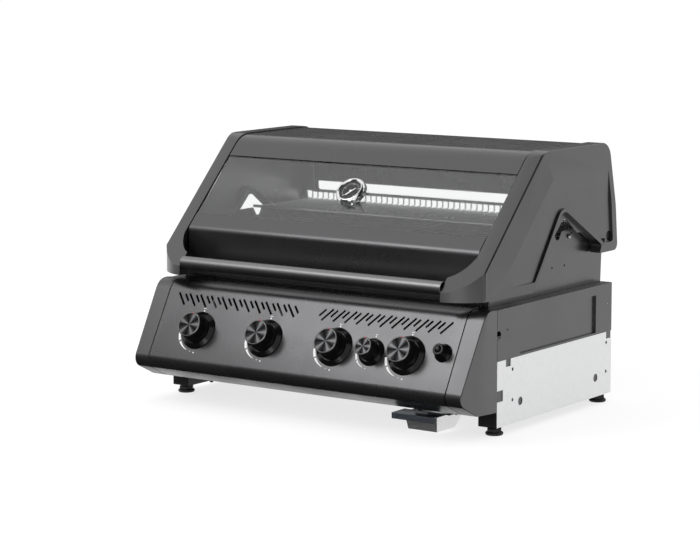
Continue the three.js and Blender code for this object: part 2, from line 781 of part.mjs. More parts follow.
function bezelGeometry(knob) {
  const inner = knob.skirtD / 2 + runningGap;
  return turned([
    [inner, gap], [knob.bezelD / 2, gap], [knob.bezelD / 2, bezelRim], [knob.bezelTopD / 2, bezelH],
    [inner, bezelH], [inner, gap],
  ]);
}

function igniterHousing() {
  const inner = buttonD / 2 + runningGap;
  const nose = igniterNoseD / 2;
  return turned([
    [inner, gap], [igniterBaseD / 2, gap], [igniterBaseD / 2, bezelRim], [nose + igniterWall / 2, igniterH / 2],
    [nose, igniterH], [inner, igniterH], [inner, gap],
  ], tubeSides);
}

function igniterButton() {
  return turned([
    [0, buttonTailOff], [buttonD / 2, buttonTailOff], [buttonD / 2, buttonOff - knobEdge],
    [buttonD / 2 - knobEdge, buttonOff], [0, buttonOff],
  ], tubeSides);
}

// Gas manifold with its five valves, each with a bore for its stem and an orifice spud
function gasManifold() {
  const pipe = facePoint(0, manifoldUp, manifoldOff);
  const main = toSolid(rodX(manifoldD, -manifoldHalfLength, manifoldHalfLength, pipe.y, pipe.z));
  const rest = [...knobXs.map((x) => [x, knobUp]), [smallKnobX, knobUp]].flatMap(([x, up]) => {
    const body = rod(valveD, valveRearOff, valveFrontOff).translate(x, up, 0).applyMatrix4(faceMatrix);
    const spud = rod(spudD, facePoint(x, up, valveRearOff).z, burnerMouthZ - gap, smallSides)
      .translate(x, burnerMouthY, 0);
    return [toSolid(body), toSolid(spud)];
  });
  const bores = [...knobXs.map((x) => [x, knobUp]), [smallKnobX, smallKnobUp]].map(([x, up]) => toSolid(
    rod(stemD + runningGap * 2, stemValveOff - bezelH, valveFrontOff + overrun, smallSides)
      .translate(x, up, 0).applyMatrix4(faceMatrix)));
  const inlet = toSolid(rodX(manifoldD / 2, manifoldHalfLength - manifoldD, manifoldHalfLength + overrun,
    pipe.y, pipe.z, smallSides));
  return cut(join(main, ...rest), ...bores, inlet);
}

// Burners: an elbow from the orifice up to a straight ported tube
function burnerSolid(x, rearY, radius, lead) {
  const bendTop = burnerMouthZ + burnerBendR;
  const bend = Array.from({ length: elbowSteps + 1 }, (_, i) => {
    const angle = (i / elbowSteps) * Math.PI / 2;
    return {
      y: burnerMouthY + burnerBendR * (1 - Math.cos(angle)), z: burnerMouthZ + burnerBendR * Math.sin(angle), angle,
    };
  });
  const stations = [{ y: burnerMouthY, z: burnerMouthZ - lead, angle: 0 }, ...bend.slice(lead ? 0 : 1),
    { y: rearY, z: bendTop, angle: Math.PI / 2 }];
  return toSolid(sweptTube(x, stations, radius, smallSides));
}

// A burner tube open at its mouth
const burnerTube = (x, rearY) => cut(
  burnerSolid(x, rearY, burnerD / 2, 0),
  burnerSolid(x, rearY - burnerWall, burnerD / 2 - burnerWall, overrun),
);

// A tube through stations in a plane of constant X, closed at both ends
function sweptTube(x, stations, radius, sides) {
  const positions = [];
  const indices = [];
  stations.forEach(({ y, z, angle }) => {
    for (let i = 0; i < sides; i += 1) {
      const turn = (i / sides) * Math.PI * 2;
      const side = Math.cos(turn) * radius;
      const rise = Math.sin(turn) * radius;
      positions.push(x + side, y + rise * Math.cos(angle), z - rise * Math.sin(angle));
    }
  });
  const last = stations.length - 1;
  for (let k = 0; k < last; k += 1) {
    for (let i = 0; i < sides; i += 1) {
      const a = k * sides + i;
      const b = k * sides + (i + 1) % sides;
      indices.push(a, b, a + sides, b, b + sides, a + sides);
    }
  }
  for (let i = 1; i < sides - 1; i += 1) {
    indices.push(0, i + 1, i, last * sides, last * sides + i, last * sides + i + 1);
  }
  const geometry = new THREE.BufferGeometry();
  geometry.setAttribute('position', new THREE.Float32BufferAttribute(positions, 3));
  geometry.setIndex(indices);
  geometry.computeVertexNormals();
  return geometry;
}

// The small knob's burner: a short tube into a box with a slotted top
function searBurner() {
  const floorZ = burnerMouthZ + burnerBendR - burnerD / 2 - plateWall;
  const [x0, x1] = [smallKnobX - searHalfWidth, smallKnobX + searHalfWidth];
  const outer = toSolid(box([x0, x1], searY, [floorZ, searTopZ]));
  const inside = toSolid(box([x0 + plateWall, x1 - plateWall],
    [searY[0] + plateWall, searY[1] - plateWall], [floorZ + plateWall, searTopZ - plateWall]));
  const pitch = (searY[1] - searY[0] - searMargin * 2) / searSlots;
  const slots = Array.from({ length: searSlots }, (_, i) => searY[0] + searMargin + (i + 1 / 2) * pitch)
    .map((y) => toSolid(box([x0 + searMargin, x1 - searMargin], [y - searSlotW / 2, y + searSlotW / 2],
      [searTopZ - plateWall * 2, searTopZ + overrun])));
  const feed = burnerSolid(smallKnobX, searY[0] + plateWall / 2, burnerD / 2, 0);
  const bore = burnerSolid(smallKnobX, searY[0] + plateWall * 2, burnerD / 2 - burnerWall, overrun);
  return cut(join(feed, outer), bore, inside, ...slots);
}

// Firebox walls
function fireboxSide() {
  const screwX = THREE.MathUtils.mapLinear(boxScrewZ, fireboxWaistZ, fireboxTopZ, fireboxWaistX, fireboxTopX);
  const wall = join(
    toSolid(extrudeY(sheetShape([
      [fireboxBottomX, fireboxBottomZ], [fireboxWaistX, fireboxWaistZ], [fireboxTopX, fireboxTopZ],
    ], plateWall), fireboxFrontY + plateWall + gap, fireboxRearTopY)),
    toSolid(screwHead(boxScrewD, boxScrewH).rotateY(Math.PI / 2).translate(screwX, boxScrewY, boxScrewZ)),
  );
  const lean = (fireboxRearTopY - fireboxRearY) / (fireboxTopZ - fireboxWaistZ);
  const rearFace = fireboxRearY - plateWall - gap;
  const notch = closedShape([
    [spitY - spitTopW / 2, fireboxTopZ + overrun], [spitY - spitBottomR, spitBottomZ, spitBottomR / 2],
    [spitY + spitBottomR, spitBottomZ, spitBottomR / 2], [spitY + spitTopW / 2, fireboxTopZ + overrun],
  ]);
  const reach = [fireboxBottomX - plateWall * 4, fireboxTopX + overrun];
  const holes = boxHoles.map(([y, z]) => toSolid(rodX(boxHoleD, ...reach, y, z, smallSides)));
  return cut(wall,
    beyond(new THREE.Vector3(0, rearFace, fireboxWaistZ), new THREE.Vector3(0, 1, -lean)),
    beyond(new THREE.Vector3(0, fireboxFrontY, fireboxFrontTopZ), new THREE.Vector3(0, -1, 1)),
    beyond(new THREE.Vector3(0, rearFace, fireboxWaistZ), new THREE.Vector3(0, 1, 0))
      .intersect(toSolid(box([0, cutterSize], [0, cutterSize], [0, fireboxWaistZ]))),
    toSolid(extrudeX(notch, ...reach)),
    toSolid(rodX(pinD + gap * 2, ...reach, hingeY, hingeZ, smallSides)),
    ...holes);
}

const fireboxRearAt = (z) => fireboxRearY
  + (z - fireboxWaistZ) * (fireboxRearTopY - fireboxRearY) / (fireboxTopZ - fireboxWaistZ);

// Ledges that the flame tamers and the grates rest on
function ledge(halfWidth, rootY, tipY, z) {
  return toSolid(box([-halfWidth, halfWidth], [Math.min(rootY, tipY), Math.max(rootY, tipY)], [z, z + sheetWall]));
}
const ledgeHalf = fireboxBottomX - plateWall * 2;

function fireboxFront() {
  const plate = toSolid(box([-fireboxWaistX, fireboxWaistX],
    [fireboxFrontY, fireboxFrontY + plateWall], [fireboxBottomZ, fireboxFrontTopZ]));
  const bendTop = burnerMouthZ + burnerBendR;
  const holes = [...knobXs, smallKnobX].map((x) => toSolid(
    rodY(burnerD + gap * 2, fireboxFrontY - overrun, fireboxFrontY + plateWall + overrun, x, bendTop, smallSides)));
  const rests = [tamerLedgeZ, grateLedgeZ].map((z) => ledge(
    ledgeHalf, fireboxFrontY + plateWall / 2, fireboxFrontY + plateWall + ledgeDepth, z));
  return cut(join(plate, ...rests), ...holes);
}

function fireboxRear() {
  const plate = toSolid(extrudeX(sheetShape([
    [fireboxRearY, fireboxBottomZ], [fireboxRearY, fireboxWaistZ], [fireboxRearTopY, fireboxTopZ],
  ], plateWall), -fireboxWaistX, fireboxWaistX));
  const rests = [tamerLedgeZ, grateLedgeZ].map((z) => ledge(
    ledgeHalf, fireboxRearAt(z) - plateWall / 2, fireboxRearY - plateWall - ledgeDepth, z));
  return join(plate, ...rests);
}

function flameTamer(x) {
  const edge = sheetWall * tamerHalfWidth / Math.hypot(tamerHalfWidth, tamerRise);
  const base = tamerLedgeZ + sheetWall + gap + edge;
  const shape = sheetShape([
    [x + tamerHalfWidth, base], [x, base + tamerRise, sheetWall * 2], [x - tamerHalfWidth, base],
  ], sheetWall);
  return extrudeY(shape, fireboxFrontY + plateWall + gap, fireboxRearY - plateWall - gap);
}

// Cooking grates: a frame, bars from front to back and one cross bar
function cookingGrate(side) {
  const inner = grateMargin / 2;
  const outer = fireboxWaistX - plateWall - grateMargin;
  const [x0, x1] = side < 0 ? [-outer, -inner] : [inner, outer];
  const y0 = fireboxFrontY + plateWall + grateMargin;
  const y1 = fireboxRearY - plateWall - grateMargin;
  const z0 = grateLedgeZ + sheetWall + gap;
  const plate = extrudeZ(closedShape([[x0, y0, smallR], [x1, y0, smallR], [x1, y1, smallR], [x0, y1, smallR]]),
    z0, grateTopZ);
  const pitch = (x1 - x0 - grateFrame * 2 + grateBarW) / grateSlots;
  const middle = (y0 + y1) / 2;
  const rows = [[y0 + grateFrame, middle - grateFrame / 2], [middle + grateFrame / 2, y1 - grateFrame]];
  const openings = Array.from({ length: grateSlots }, (_, i) => x0 + grateFrame + i * pitch).flatMap((left) => rows
    .map((row) => toSolid(box([left, left + pitch - grateBarW], row, [z0 - overrun, grateTopZ + overrun]))));
  return cut(toSolid(plate), ...openings);
}

// Warming rack: square wires from front to back that turn up along the rear, on rods that rest on the firebox
function warmingRack() {
  const floorZ = fireboxTopZ + gap;
  const rear = rackRearY - rackWire;
  const count = Math.floor((rackHalfWidth * 2 - rackWire) / rackPitch);
  const half = count * rackPitch / 2 + rackWire / 2;
  const gapShape = closedShape([
    [rackFrontY + rackRod, floorZ - overrun], [rackRearY + overrun, floorZ - overrun],
    [rackRearY + overrun, rackTopZ - rackRail], [rear - overrun, rackTopZ - rackRail],
    [rear - overrun, floorZ + rackRod], [rackFrontY + rackRod, floorZ + rackRod],
  ]);
  const gaps = Array.from({ length: count }, (_, i) => (i - count / 2) * rackPitch + rackWire / 2)
    .map((left) => toSolid(extrudeX(gapShape, left, left + rackPitch - rackWire)));
  const holder = (x0, x1, y) => toSolid(box([x0, x1], [y, y + rackRod], [floorZ, floorZ + rackRod]));
  const frame = join(
    toSolid(box([-half, half], [rackFrontY, rackRearY], [floorZ, floorZ + rackWire])),
    toSolid(box([-half, half], [rear, rackRearY], [floorZ, rackTopZ])),
    holder(-rackHolderX, rackHolderX, rackFrontY),
    holder(-rackHolderX, rackWire - half, rear - rackRod), holder(half - rackWire, rackHolderX, rear - rackRod),
  );
  return cut(frame, ...gaps);
}

// Grease pan: a funnel under the firebox
function frustum([x0, x1, y0, y1], z0, [x2, x3, y2, y3], z1) {
  const geometry = new THREE.BoxGeometry(1, 1, 1);
  const position = geometry.getAttribute('position');
  for (let i = 0; i < position.count; i += 1) {
    const [px, py, pz] = [position.getX(i), position.getY(i), position.getZ(i)];
    if (pz < 0) position.setXYZ(i, px < 0 ? x0 : x1, py < 0 ? y0 : y1, z0);
    else position.setXYZ(i, px < 0 ? x2 : x3, py < 0 ? y2 : y3, z1);
  }
  return toSolid(geometry);
}

function greasePan() {
  const topX = fireboxBottomX - plateWall - panInset;
  const top = [-topX, topX, fireboxFrontY + panInset, fireboxRearY - panInset];
  const outletX = (trayLow.x[0] + trayLow.x[1]) / 2;
  const low = [outletX - panOutletHalfX, outletX + panOutletHalfX,
    panOutletY - panOutletHalfY, panOutletY + panOutletHalfY];
  const grow = ([x0, x1, y0, y1], by) => [x0 + by, x1 - by, y0 + by, y1 - by];
  const rim = toSolid(box([-fireboxBottomX, fireboxBottomX],
    [fireboxFrontY, fireboxRearY], [panRimZ - sheetWall, panRimZ]));
  const open = toSolid(box([top[0] + sheetWall, top[1] - sheetWall],
    [top[2] + sheetWall, top[3] - sheetWall], [panRimZ - sheetWall - overrun, panRimZ + overrun]));
  const body = frustum(low, panOutletZ, top, panRimZ);
  const inside = frustum(grow(low, sheetWall), panOutletZ - gap, grow(top, sheetWall), panRimZ + gap);
  const spout = cut(
    toSolid(box([low[0], low[1]], [low[2], low[3]], [panSpoutZ, panOutletZ + sheetWall])),
    toSolid(box([low[0] + sheetWall, low[1] - sheetWall], [low[2] + sheetWall, low[3] - sheetWall],
      [panSpoutZ - overrun, panOutletZ + sheetWall * 2])));
  return join(cut(rim, open), cut(body, inside), spout);
}

// Drip tray with a rim along each side, and the folded handle on its front
function dripTray() {
  const shrink = ({ x, y }, by) => [x[0] + by, x[1] - by, y[0] + by, y[1] - by];
  const outer = frustum(shrink(trayLow, 0), trayLow.z, shrink(trayTop, 0), trayTop.z);
  const inner = frustum(shrink(trayLow, trayWall), trayLow.z + trayWall, shrink(trayTop, trayWall), trayTop.z + gap);
  const rim = toSolid(box([trayTop.x[0] - trayRim, trayTop.x[1] + trayRim],
    [trayHandleY[1], trayTop.y[1]], [trayTop.z - trayWall, trayTop.z]));
  return cut(join(outer, rim), inner);
}

function trayHandle() {
  const base = trayTop.z + gap;
  const corner = [trayHandleY[0], base + trayWall, trayWall];
  const folded = toSolid(extrudeX(sheetShape(
    [[trayHandleY[1] - gap, base + trayWall], corner, [trayHandleY[0], base + trayWall - trayHandleDrop]],
    trayWall), ...trayHandleX));
  const plan = closedShape([
    [trayHandleX[0], trayHandleY[0]], [trayHandleX[1], trayHandleY[0], trayHandleR],
    [trayHandleX[1], trayHandleY[1]], [trayHandleX[0], trayHandleY[1]],
  ]);
  return folded.intersect(toSolid(extrudeZ(plan, 0, plateTopZ)));
}

// Lid ends: a hollow casting with a flanged edge, a recessed side face and a lobe for the handle
const lidEndCorners = [
  [legFrontY, legBottomZ], [legRearY, legBottomZ, smallR], [notchApexY, notchApexZ, notchApexR],
  [noseTabY, noseTabZ, smallR], [noseTabFrontY, tabBottomZ, smallR / 2],
  [lidRearBottomY, tabBottomZ, tabRearR], [lidRearTopY, lidTopZ, lidRearTopR],
  [lidTopFrontY, lidTopZ, lidTopFrontR], [legFrontY, legSlopeZ, smallR],
];

function lobe() {
  const handle = ([inward, y]) => [lidEdgeX - inward, y];
  const plan = new THREE.Shape();
  plan.moveTo(lobeInnerX, lobeFrontY);
  plan.bezierCurveTo(...lobeFrontBend.flatMap(handle), lidEdgeX, lobeOuterY);
  plan.lineTo(lidEdgeX, lobeRearY);
  plan.lineTo(lobeRootX, lobeRearY);
  plan.bezierCurveTo(...lobeInnerBend.flatMap(handle), lobeInnerX, lobeTipY);
  plan.closePath();
  return cut(
    toSolid(extrudeZ(plan, legBottomZ, lobeTopZ + lobeRearY)),
    beyond(new THREE.Vector3(lidInnerX, lobeRearY, lobeTopZ), new THREE.Vector3(...lobeTopShares)),
  );
}

function lidEnd() {
  const { front, slope, top, rear, bottom, notch } = pocketRims;
  const pocketCorners = inset(lidEndCorners, [bottom, notch, notch, notch, bottom, rear, top, slope, front], true)
    .map(([y, z, radius], i) => [y, z, i === 2 ? radius : pocketR]);
  const sunk = (corners, grow, x0, x1) => toSolid(extrudeX(closedShape(inset(corners, grow, true)), x0, x1));
  const side = toSolid(extrudeX(closedShape(lidEndCorners), lidFlangeX, lidSideX));
  const hollow = sunk(lidEndCorners, castWall, lidFlangeX - overrun, lidEdgeX - castWall);
  const pocket = sunk(pocketCorners, 0, pocketFloorX, lidSideX + overrun);
  const bandPath = [
    [legFrontY, legBottomZ], [legFrontY, legSlopeZ, smallR], [lidTopFrontY, lidTopZ, lidTopFrontR],
    [lidRearTopY, lidTopZ, lidRearTopR], [lidRearAt(lidRearEdgeZ), lidRearEdgeZ],
  ].reverse();
  const band = toSolid(extrudeX(sheetShape(bandPath, castWall), lidInnerX, lidFlangeX + castWall));
  const boss = toSolid(rodX(bossD, bossX, pocketFloorX, hingeY, hingeZ));
  const bore = toSolid(rodX(pinD + pinPlay, bossX - overrun, lidSideX, hingeY, hingeZ));
  const recess = toSolid(rodX(recessD, pocketFloorX - recessDepth, lidSideX, hingeY, hingeZ));
  const slopeFall = facetShare / Math.SQRT2;
  const edge = (y, z) => new THREE.Vector3(lidEdgeX, y, z);
  return cut(
    join(cut(join(side, band, lobe()), hollow, pocket), boss),
    bore, recess,
    beyond(edge(legFrontY, legBottomZ), new THREE.Vector3(1, -legFacetShare, 0)),
    beyond(edge(legFrontY, legSlopeZ), new THREE.Vector3(1, -slopeFall, slopeFall)),
    beyond(edge(lidTopFrontY, lidTopZ), new THREE.Vector3(1, 0, facetShare)),
    beyond(new THREE.Vector3(lidInnerX, 0, slopeZ + bandDrop / 2),
      new THREE.Vector3(bandDrop / (lidEdgeX - lidInnerX), -1, 1)),
  );
}

// Lid sheet over the top and rear, with the exhaust slot
function lidShell() {
  const topZ = lidTopZ - sheetDrop;
  const rearAt = (z) => lidRearAt(z) - sheetDrop;
  const path = [
    [shellFrontY, shellFrontY + slopeZ], [topZ - slopeZ, topZ, lidTopFrontR],
    [rearAt(topZ), topZ, lidRearTopR], [rearAt(lidRearEdgeZ), lidRearEdgeZ],
  ].reverse();
  const sheet = toSolid(extrudeX(sheetShape(path, sheetWall), -lidInnerX + gap, lidInnerX - gap));
  const slot = closedShape([
    [-exhaustHalf, exhaustZ[0], exhaustR], [exhaustHalf, exhaustZ[0], exhaustR],
    [exhaustHalf, exhaustZ[1], exhaustR], [-exhaustHalf, exhaustZ[1], exhaustR],
  ]);
  return cut(sheet, toSolid(extrudeY(slot, rearAt(exhaustZ[1]) - sheetDrop * 4, lidRearBottomY)));
}

function lidFront() {
  const bendY = creaseY - creaseR;
  const path = [
    [frontLipY, frontSheetZ], [frontSheetY, frontSheetZ, frontLipR], [bendY, bendY + slopeZ, creaseR * 2],
    [frontTopY, frontTopY + slopeZ],
  ].reverse();
  return extrudeX(sheetShape(path, sheetWall), -lidInnerX + gap, lidInnerX - gap);
}

function handleTube() {
  const half = lobeInnerX - gap;
  const bore = rodX(handleD - handleWall * 2, -half - overrun, half + overrun, handleY, handleZ, discSides);
  return cut(toSolid(rodX(handleD, -half, half, handleY, handleZ, discSides)), toSolid(bore));
}

function glassPane() {
  const top = -sheetWall - gap;
  const pane = toSolid(box([-lidInnerX + gap, lidInnerX - gap],
    [glassFrontY * Math.SQRT2, glassRearY * Math.SQRT2], [top - glassWall, top]).applyMatrix4(slopeMatrix));
  const hole = rod(probeD + runningGap * 2, top - glassWall - overrun, top + overrun)
    .translate(0, dialY * Math.SQRT2, 0).applyMatrix4(slopeMatrix);
  return cut(pane, toSolid(hole));
}

function thermometerBezel() {
  const base = -sheetWall;
  const inner = bezelInnerD / 2;
  const outer = bezelOuterD / 2;
  return turned([
    [inner, base], [outer - bezelEdge / 2, base], [outer, base + bezelEdge],
    [outer - bezelEdge / 2, bezelTop - bezelEdge / 2], [outer - bezelEdge, bezelTop],
    [inner + bezelEdge / 2, bezelTop], [inner, bezelTop - bezelEdge / 2], [inner, base],
  ]);
}

function thermometerBody() {
  const base = -sheetWall;
  const under = base - gap - glassWall;
  const probe = probeD / 2;
  return turned([
    [0, under - probeLength], [probe, under - probeLength], [probe, under - nutH - gap], [nutD / 2, under - nutH - gap],
    [nutD / 2, under - gap * 2], [probe, under - gap * 2], [probe, base], [bezelInnerD / 2 - gap, base],
    [bezelInnerD / 2 - gap, dialTop], [0, dialTop],
  ]);
}

function hingePin() {
  const head = pocketFloorX - recessDepth + gap;
  return turned([
    [0, pinInnerX], [pinD / 2, pinInnerX], [pinD / 2, pinCollarX[0]], [pinCollarD / 2, pinCollarX[0]],
    [pinCollarD / 2, pinCollarX[1]], [pinD / 2, pinCollarX[1]], [pinD / 2, head], [pinHeadD / 2, head],
    [pinHeadD / 2, head + pinHeadH], [0, head + pinHeadH],
  ], tubeSides).rotateY(Math.PI / 2).translate(0, hingeY, hingeZ);
}

// Assembly
add('base_frame', baseFrame(), finish.black());
[['front_left', -footX, footFrontY], ['front_right', footX, footFrontY],
  ['rear_left', -footX, footRearY], ['rear_right', footX, footRearY]].forEach(([name, x, y]) => {
  add(`foot_${name}`, footGeometry(), finish.black()).position.set(x, y, 0);
});
addPair('side_plate', sidePlate(), finish.galvanised());
addPair('side_panel', sidePanel(), finish.anthracite());
add('rear_panel', rearPanel(), finish.galvanised());
add('control_panel', controlPanel(), finish.anthracite());
addPair('panel_end', panelEnd(), finish.anthracite());

addPair('firebox_side', fireboxSide(), finish.anthracite());
add('firebox_front', fireboxFront(), finish.anthracite());
add('firebox_rear', fireboxRear(), finish.anthracite());
add('grease_pan', greasePan(), finish.steel());
add('drip_tray', dripTray(), finish.galvanised());
add('drip_tray_handle', trayHandle(), finish.blueGloss());

knobXs.forEach((x, i) => {
  add(`burner_${i + 1}`, burnerTube(x, burnerRearY), finish.steel());
  add(`flame_tamer_${i + 1}`, flameTamer(x), finish.steel());
});
add('sear_burner', searBurner(), finish.steel());
add('grate_left', cookingGrate(-1), finish.iron());
add('grate_right', cookingGrate(1), finish.iron());
add('warming_rack', warmingRack(), finish.chrome());

add('gas_manifold', gasManifold(), finish.brass());
const stem = () => rod(stemD, stemValveOff, stemKnobOff, smallSides);
[...knobXs.map((x) => [x, knobUp, bigKnob]), [smallKnobX, smallKnobUp, smallKnob]].forEach(([x, up, knob], i) => {
  const mount = onFace(x, up);
  const name = knob === smallKnob ? 'small' : `${i + 1}`;
  add(`knob_stem_${name}`, stem(), finish.steel(), mount);
  add(`knob_${name}`, knobGeometry(knob), finish.blackGloss(), mount);
  add(`knob_bezel_${name}`, bezelGeometry(knob), finish.blackGloss(), mount);
});
const igniterMount = onFace(igniterX, igniterUp);
add('igniter_housing', igniterHousing(), finish.blackGloss(), igniterMount);
add('igniter_button', igniterButton(), finish.blackGloss(), igniterMount);

addPair('lid_end', lidEnd(), finish.anthracite());
add('lid_shell', lidShell(), finish.anthracite());
add('lid_front', lidFront(), finish.blackGloss());
add('lid_glass', glassPane(), finish.glass());
add('lid_handle', handleTube(), finish.anthracite());
const dialMount = onSlope(0, dialY);
add('thermometer_bezel', thermometerBezel(), finish.chrome(), dialMount);
add('thermometer_body', thermometerBody(), finish.dial(), dialMount);
addPair('hinge_pin', hingePin(), finish.steel());

// The ground plan is centred and the feet stand at height zero
const extent = new THREE.Box3().setFromObject(grill);
grill.position.set(0, -(extent.min.y + extent.max.y) / 2, -extent.min.z);

export default grill;
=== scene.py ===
# Built-in gas grill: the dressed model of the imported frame, with its stage and camera.
# Metres, in the frame's own axes: X along the grill, Y to its back, Z up from the feet's soles.

import json
import math

import bmesh
import bpy
from mathutils import Matrix, Vector


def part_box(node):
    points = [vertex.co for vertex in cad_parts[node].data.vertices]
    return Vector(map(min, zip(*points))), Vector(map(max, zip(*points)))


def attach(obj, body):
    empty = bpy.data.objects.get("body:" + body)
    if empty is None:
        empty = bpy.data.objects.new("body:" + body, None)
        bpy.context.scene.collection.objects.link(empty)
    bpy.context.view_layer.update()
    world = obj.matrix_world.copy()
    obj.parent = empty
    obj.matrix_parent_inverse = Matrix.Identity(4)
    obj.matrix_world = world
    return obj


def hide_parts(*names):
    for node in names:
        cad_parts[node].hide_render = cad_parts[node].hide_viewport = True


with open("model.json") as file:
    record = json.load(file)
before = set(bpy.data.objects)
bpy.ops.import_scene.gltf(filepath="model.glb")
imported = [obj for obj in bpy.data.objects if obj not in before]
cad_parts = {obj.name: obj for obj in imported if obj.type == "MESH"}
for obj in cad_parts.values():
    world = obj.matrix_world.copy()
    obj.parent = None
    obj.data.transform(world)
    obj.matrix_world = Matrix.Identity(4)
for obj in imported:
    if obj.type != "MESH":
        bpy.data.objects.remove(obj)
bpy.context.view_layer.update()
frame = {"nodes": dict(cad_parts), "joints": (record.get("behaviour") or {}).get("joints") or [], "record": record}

bl_info = {
    "name": "Built-in gas grill",
    "version": (1, 0, 0),
    "blender": (4, 5, 0),
    "location": "3D View > Sidebar > Grill",
    "description": "Models the pieces of a built-in gas grill round its packed frame",
    "category": "Add Mesh",
}

NODES = frame["nodes"]
JOINTS = {joint["name"]: joint for joint in frame["joints"]}
BODY_OF = {node: body for body, nodes in frame["record"]["behaviour"]["bodies"].items() for node in nodes}
SLOT_OF = {part["node"]: part["material_slot"] for part in frame["record"]["subparts"]}
KNOBS = ["1", "2", "3", "4", "small"]
SIDES = ["left", "right"]

MM = 0.001
WELD = 1e-6
CAD_WELD = 1e-5
CAD_FLAT = math.radians(0.4)
# A face looks one way where its normal has at least this share of that direction
FACING = 0.9
# The angle in degrees past which shading breaks, for most pieces and for those that need another
SHADING = 35
CRISP_SHADING = 30
ROUND_SHADING = 40
WIRE_SHADING = 50


# Sizes and colours

def length(name, description, value):
    return bpy.props.FloatProperty(name=name, description=description, default=value, unit="LENGTH")


def colour(name, description, value):
    return bpy.props.FloatVectorProperty(
        name=name, description=description, subtype="COLOR", size=3, min=0, max=1, default=value)


class GrillSizes(bpy.types.PropertyGroup):
    sheet_fold: length("Sheet edge", "Rounding of the sheet parts' edges", 0.35 * MM)
    cast_edge: length("Cast edge", "Rounding of the castings' edges", 2.2 * MM)
    seam_gap: length("Seam", "Open joint between the sheets and the cast ends", 2 * MM)
    slot_ease: length("Slot easing", "Widening of the vent slots on each side", 0.8 * MM)
    facet_lean: length("Facet lean", "Extra set-back of the lid ends' outer edge", 4.4 * MM)
    flutes: bpy.props.IntProperty(name="Flutes", description="Flutes round each large knob", default=44)
    flute_share: bpy.props.FloatProperty(
        name="Flute depth", description="Radius of a flute's floor as a share of the knob's", default=0.965)
    print_rise: length("Print thickness", "Thickness of the printed marks", 0.12 * MM)
    rack_wire: length("Rack wire", "Diameter of the warming rack's wires", 3 * MM)
    rack_pitch: length("Rack pitch", "Distance between the warming rack's wires", 14 * MM)


class GrillColours(bpy.types.PropertyGroup):
    anthracite: colour("Anthracite", "Powder coat of the body and the lid", (0.122, 0.122, 0.125))
    # Black is the real coat of the floor frame and hinge pins, and also painted shade on the walls of the open
    # seams and vent slots
    black: colour("Black", "Coat of the floor frame and of the open seams' walls", (0.012, 0.012, 0.013))
    knob: colour("Knob black", "Moulded knobs and their bezels", (0.004, 0.004, 0.004))
    zinc: colour("Zinc", "Galvanised sheet", (0.84, 0.845, 0.85))
    steel: colour("Steel", "Plain stainless steel", (0.55, 0.55, 0.55))
    handle: colour("Handle steel", "Dark satin tube of the lid's handle", (0.231, 0.231, 0.231))
    mirror: colour("Mirror steel", "Polished handle of the drip tray", (0.36, 0.41, 0.47))
    tray: colour("Tray steel", "Bright sheet of the drip tray", (0.95, 0.95, 0.95))
    chrome: colour("Chrome", "Plated trim and wires", (0.82, 0.82, 0.83))
    marks: colour("Marks", "Printed marks", (0.95, 0.95, 0.95))
    red: colour("Red", "Pointer dot on each knob", (0.72, 0.01, 0.035))
    iron: colour("Iron", "Enamelled cooking grates", (0.02, 0.02, 0.021))
    brass: colour("Brass", "Gas manifold", (0.62, 0.45, 0.18))


class GrillStage(bpy.types.PropertyGroup):
    floor: colour("Floor", "Floor and background", (0.9, 0.9, 0.9))
    key_power: bpy.props.FloatProperty(
        name="Key light", description="Power of the large soft light", default=24, unit="POWER")
    glint_power: bpy.props.FloatProperty(
        name="Front light", description="Power of the small light in front", default=2.5, unit="POWER")
    fill: bpy.props.FloatProperty(
        name="Room light", description="Strength of the even light from all sides", default=0.82, min=0)


def sizes():
    return bpy.context.scene.grill_sizes


# Selection and finishing by hand tools

def clear_selection():
    if bpy.context.object and bpy.context.object.mode != "OBJECT":
        bpy.ops.object.mode_set(mode="OBJECT")
    bpy.ops.object.select_all(action="DESELECT")


def hold(piece):
    clear_selection()
    piece.select_set(True)
    bpy.context.view_layer.objects.active = piece


def edit(piece, kind="VERT"):
    """Opens a piece in edit mode, selected all over."""
    hold(piece)
    bpy.ops.object.mode_set(mode="EDIT")
    bpy.ops.mesh.select_mode(type=kind)
    bpy.ops.mesh.select_all(action="SELECT")


def pick(piece, kind, test):
    """Selects each VERT, EDGE or FACE that passes the test, and says how many they are."""
    bpy.ops.mesh.select_all(action="DESELECT")
    bpy.ops.mesh.select_mode(type=kind)
    shape = bmesh.from_edit_mesh(piece.data)
    found = [each for each in getattr(shape, kind.lower() + "s") if test(each)]
    for each in found:
        each.select_set(True)
    bmesh.update_edit_mesh(piece.data)
    return len(found)


def face_outwards():
    bpy.ops.mesh.select_all(action="SELECT")
    bpy.ops.mesh.normals_make_consistent(inside=False)


def done():
    bpy.ops.object.mode_set(mode="OBJECT")


def smooth(piece, degrees=SHADING):
    hold(piece)
    bpy.ops.object.shade_smooth_by_angle(angle=math.radians(degrees))
    weigh = piece.modifiers.new("Even shading", "WEIGHTED_NORMAL")
    weigh.keep_sharp = True
    bpy.ops.object.modifier_apply(modifier=weigh.name)


def place(piece, matrix):
    hold(piece)
    piece.matrix_world = matrix
    bpy.ops.object.transform_apply(location=True, rotation=True, scale=True)


def add_object(name, data):
    made = bpy.data.objects.new(name, data)
    bpy.context.scene.collection.objects.link(made)
    return made


def named(piece, name):
    piece.name = name
    piece.data.name = name
    return piece


def paint(piece, *materials):
    """Gives a piece its materials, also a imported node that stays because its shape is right."""
    if list(piece.data.materials) != list(materials):
        piece.data.materials.clear()
        for material in materials:
            piece.data.materials.append(material)


def finish(piece, body, slot, *materials, stands_for=()):
    paint(piece, *materials)
    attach(piece, body)
    if stands_for:
        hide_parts(*stands_for)


# Modelling

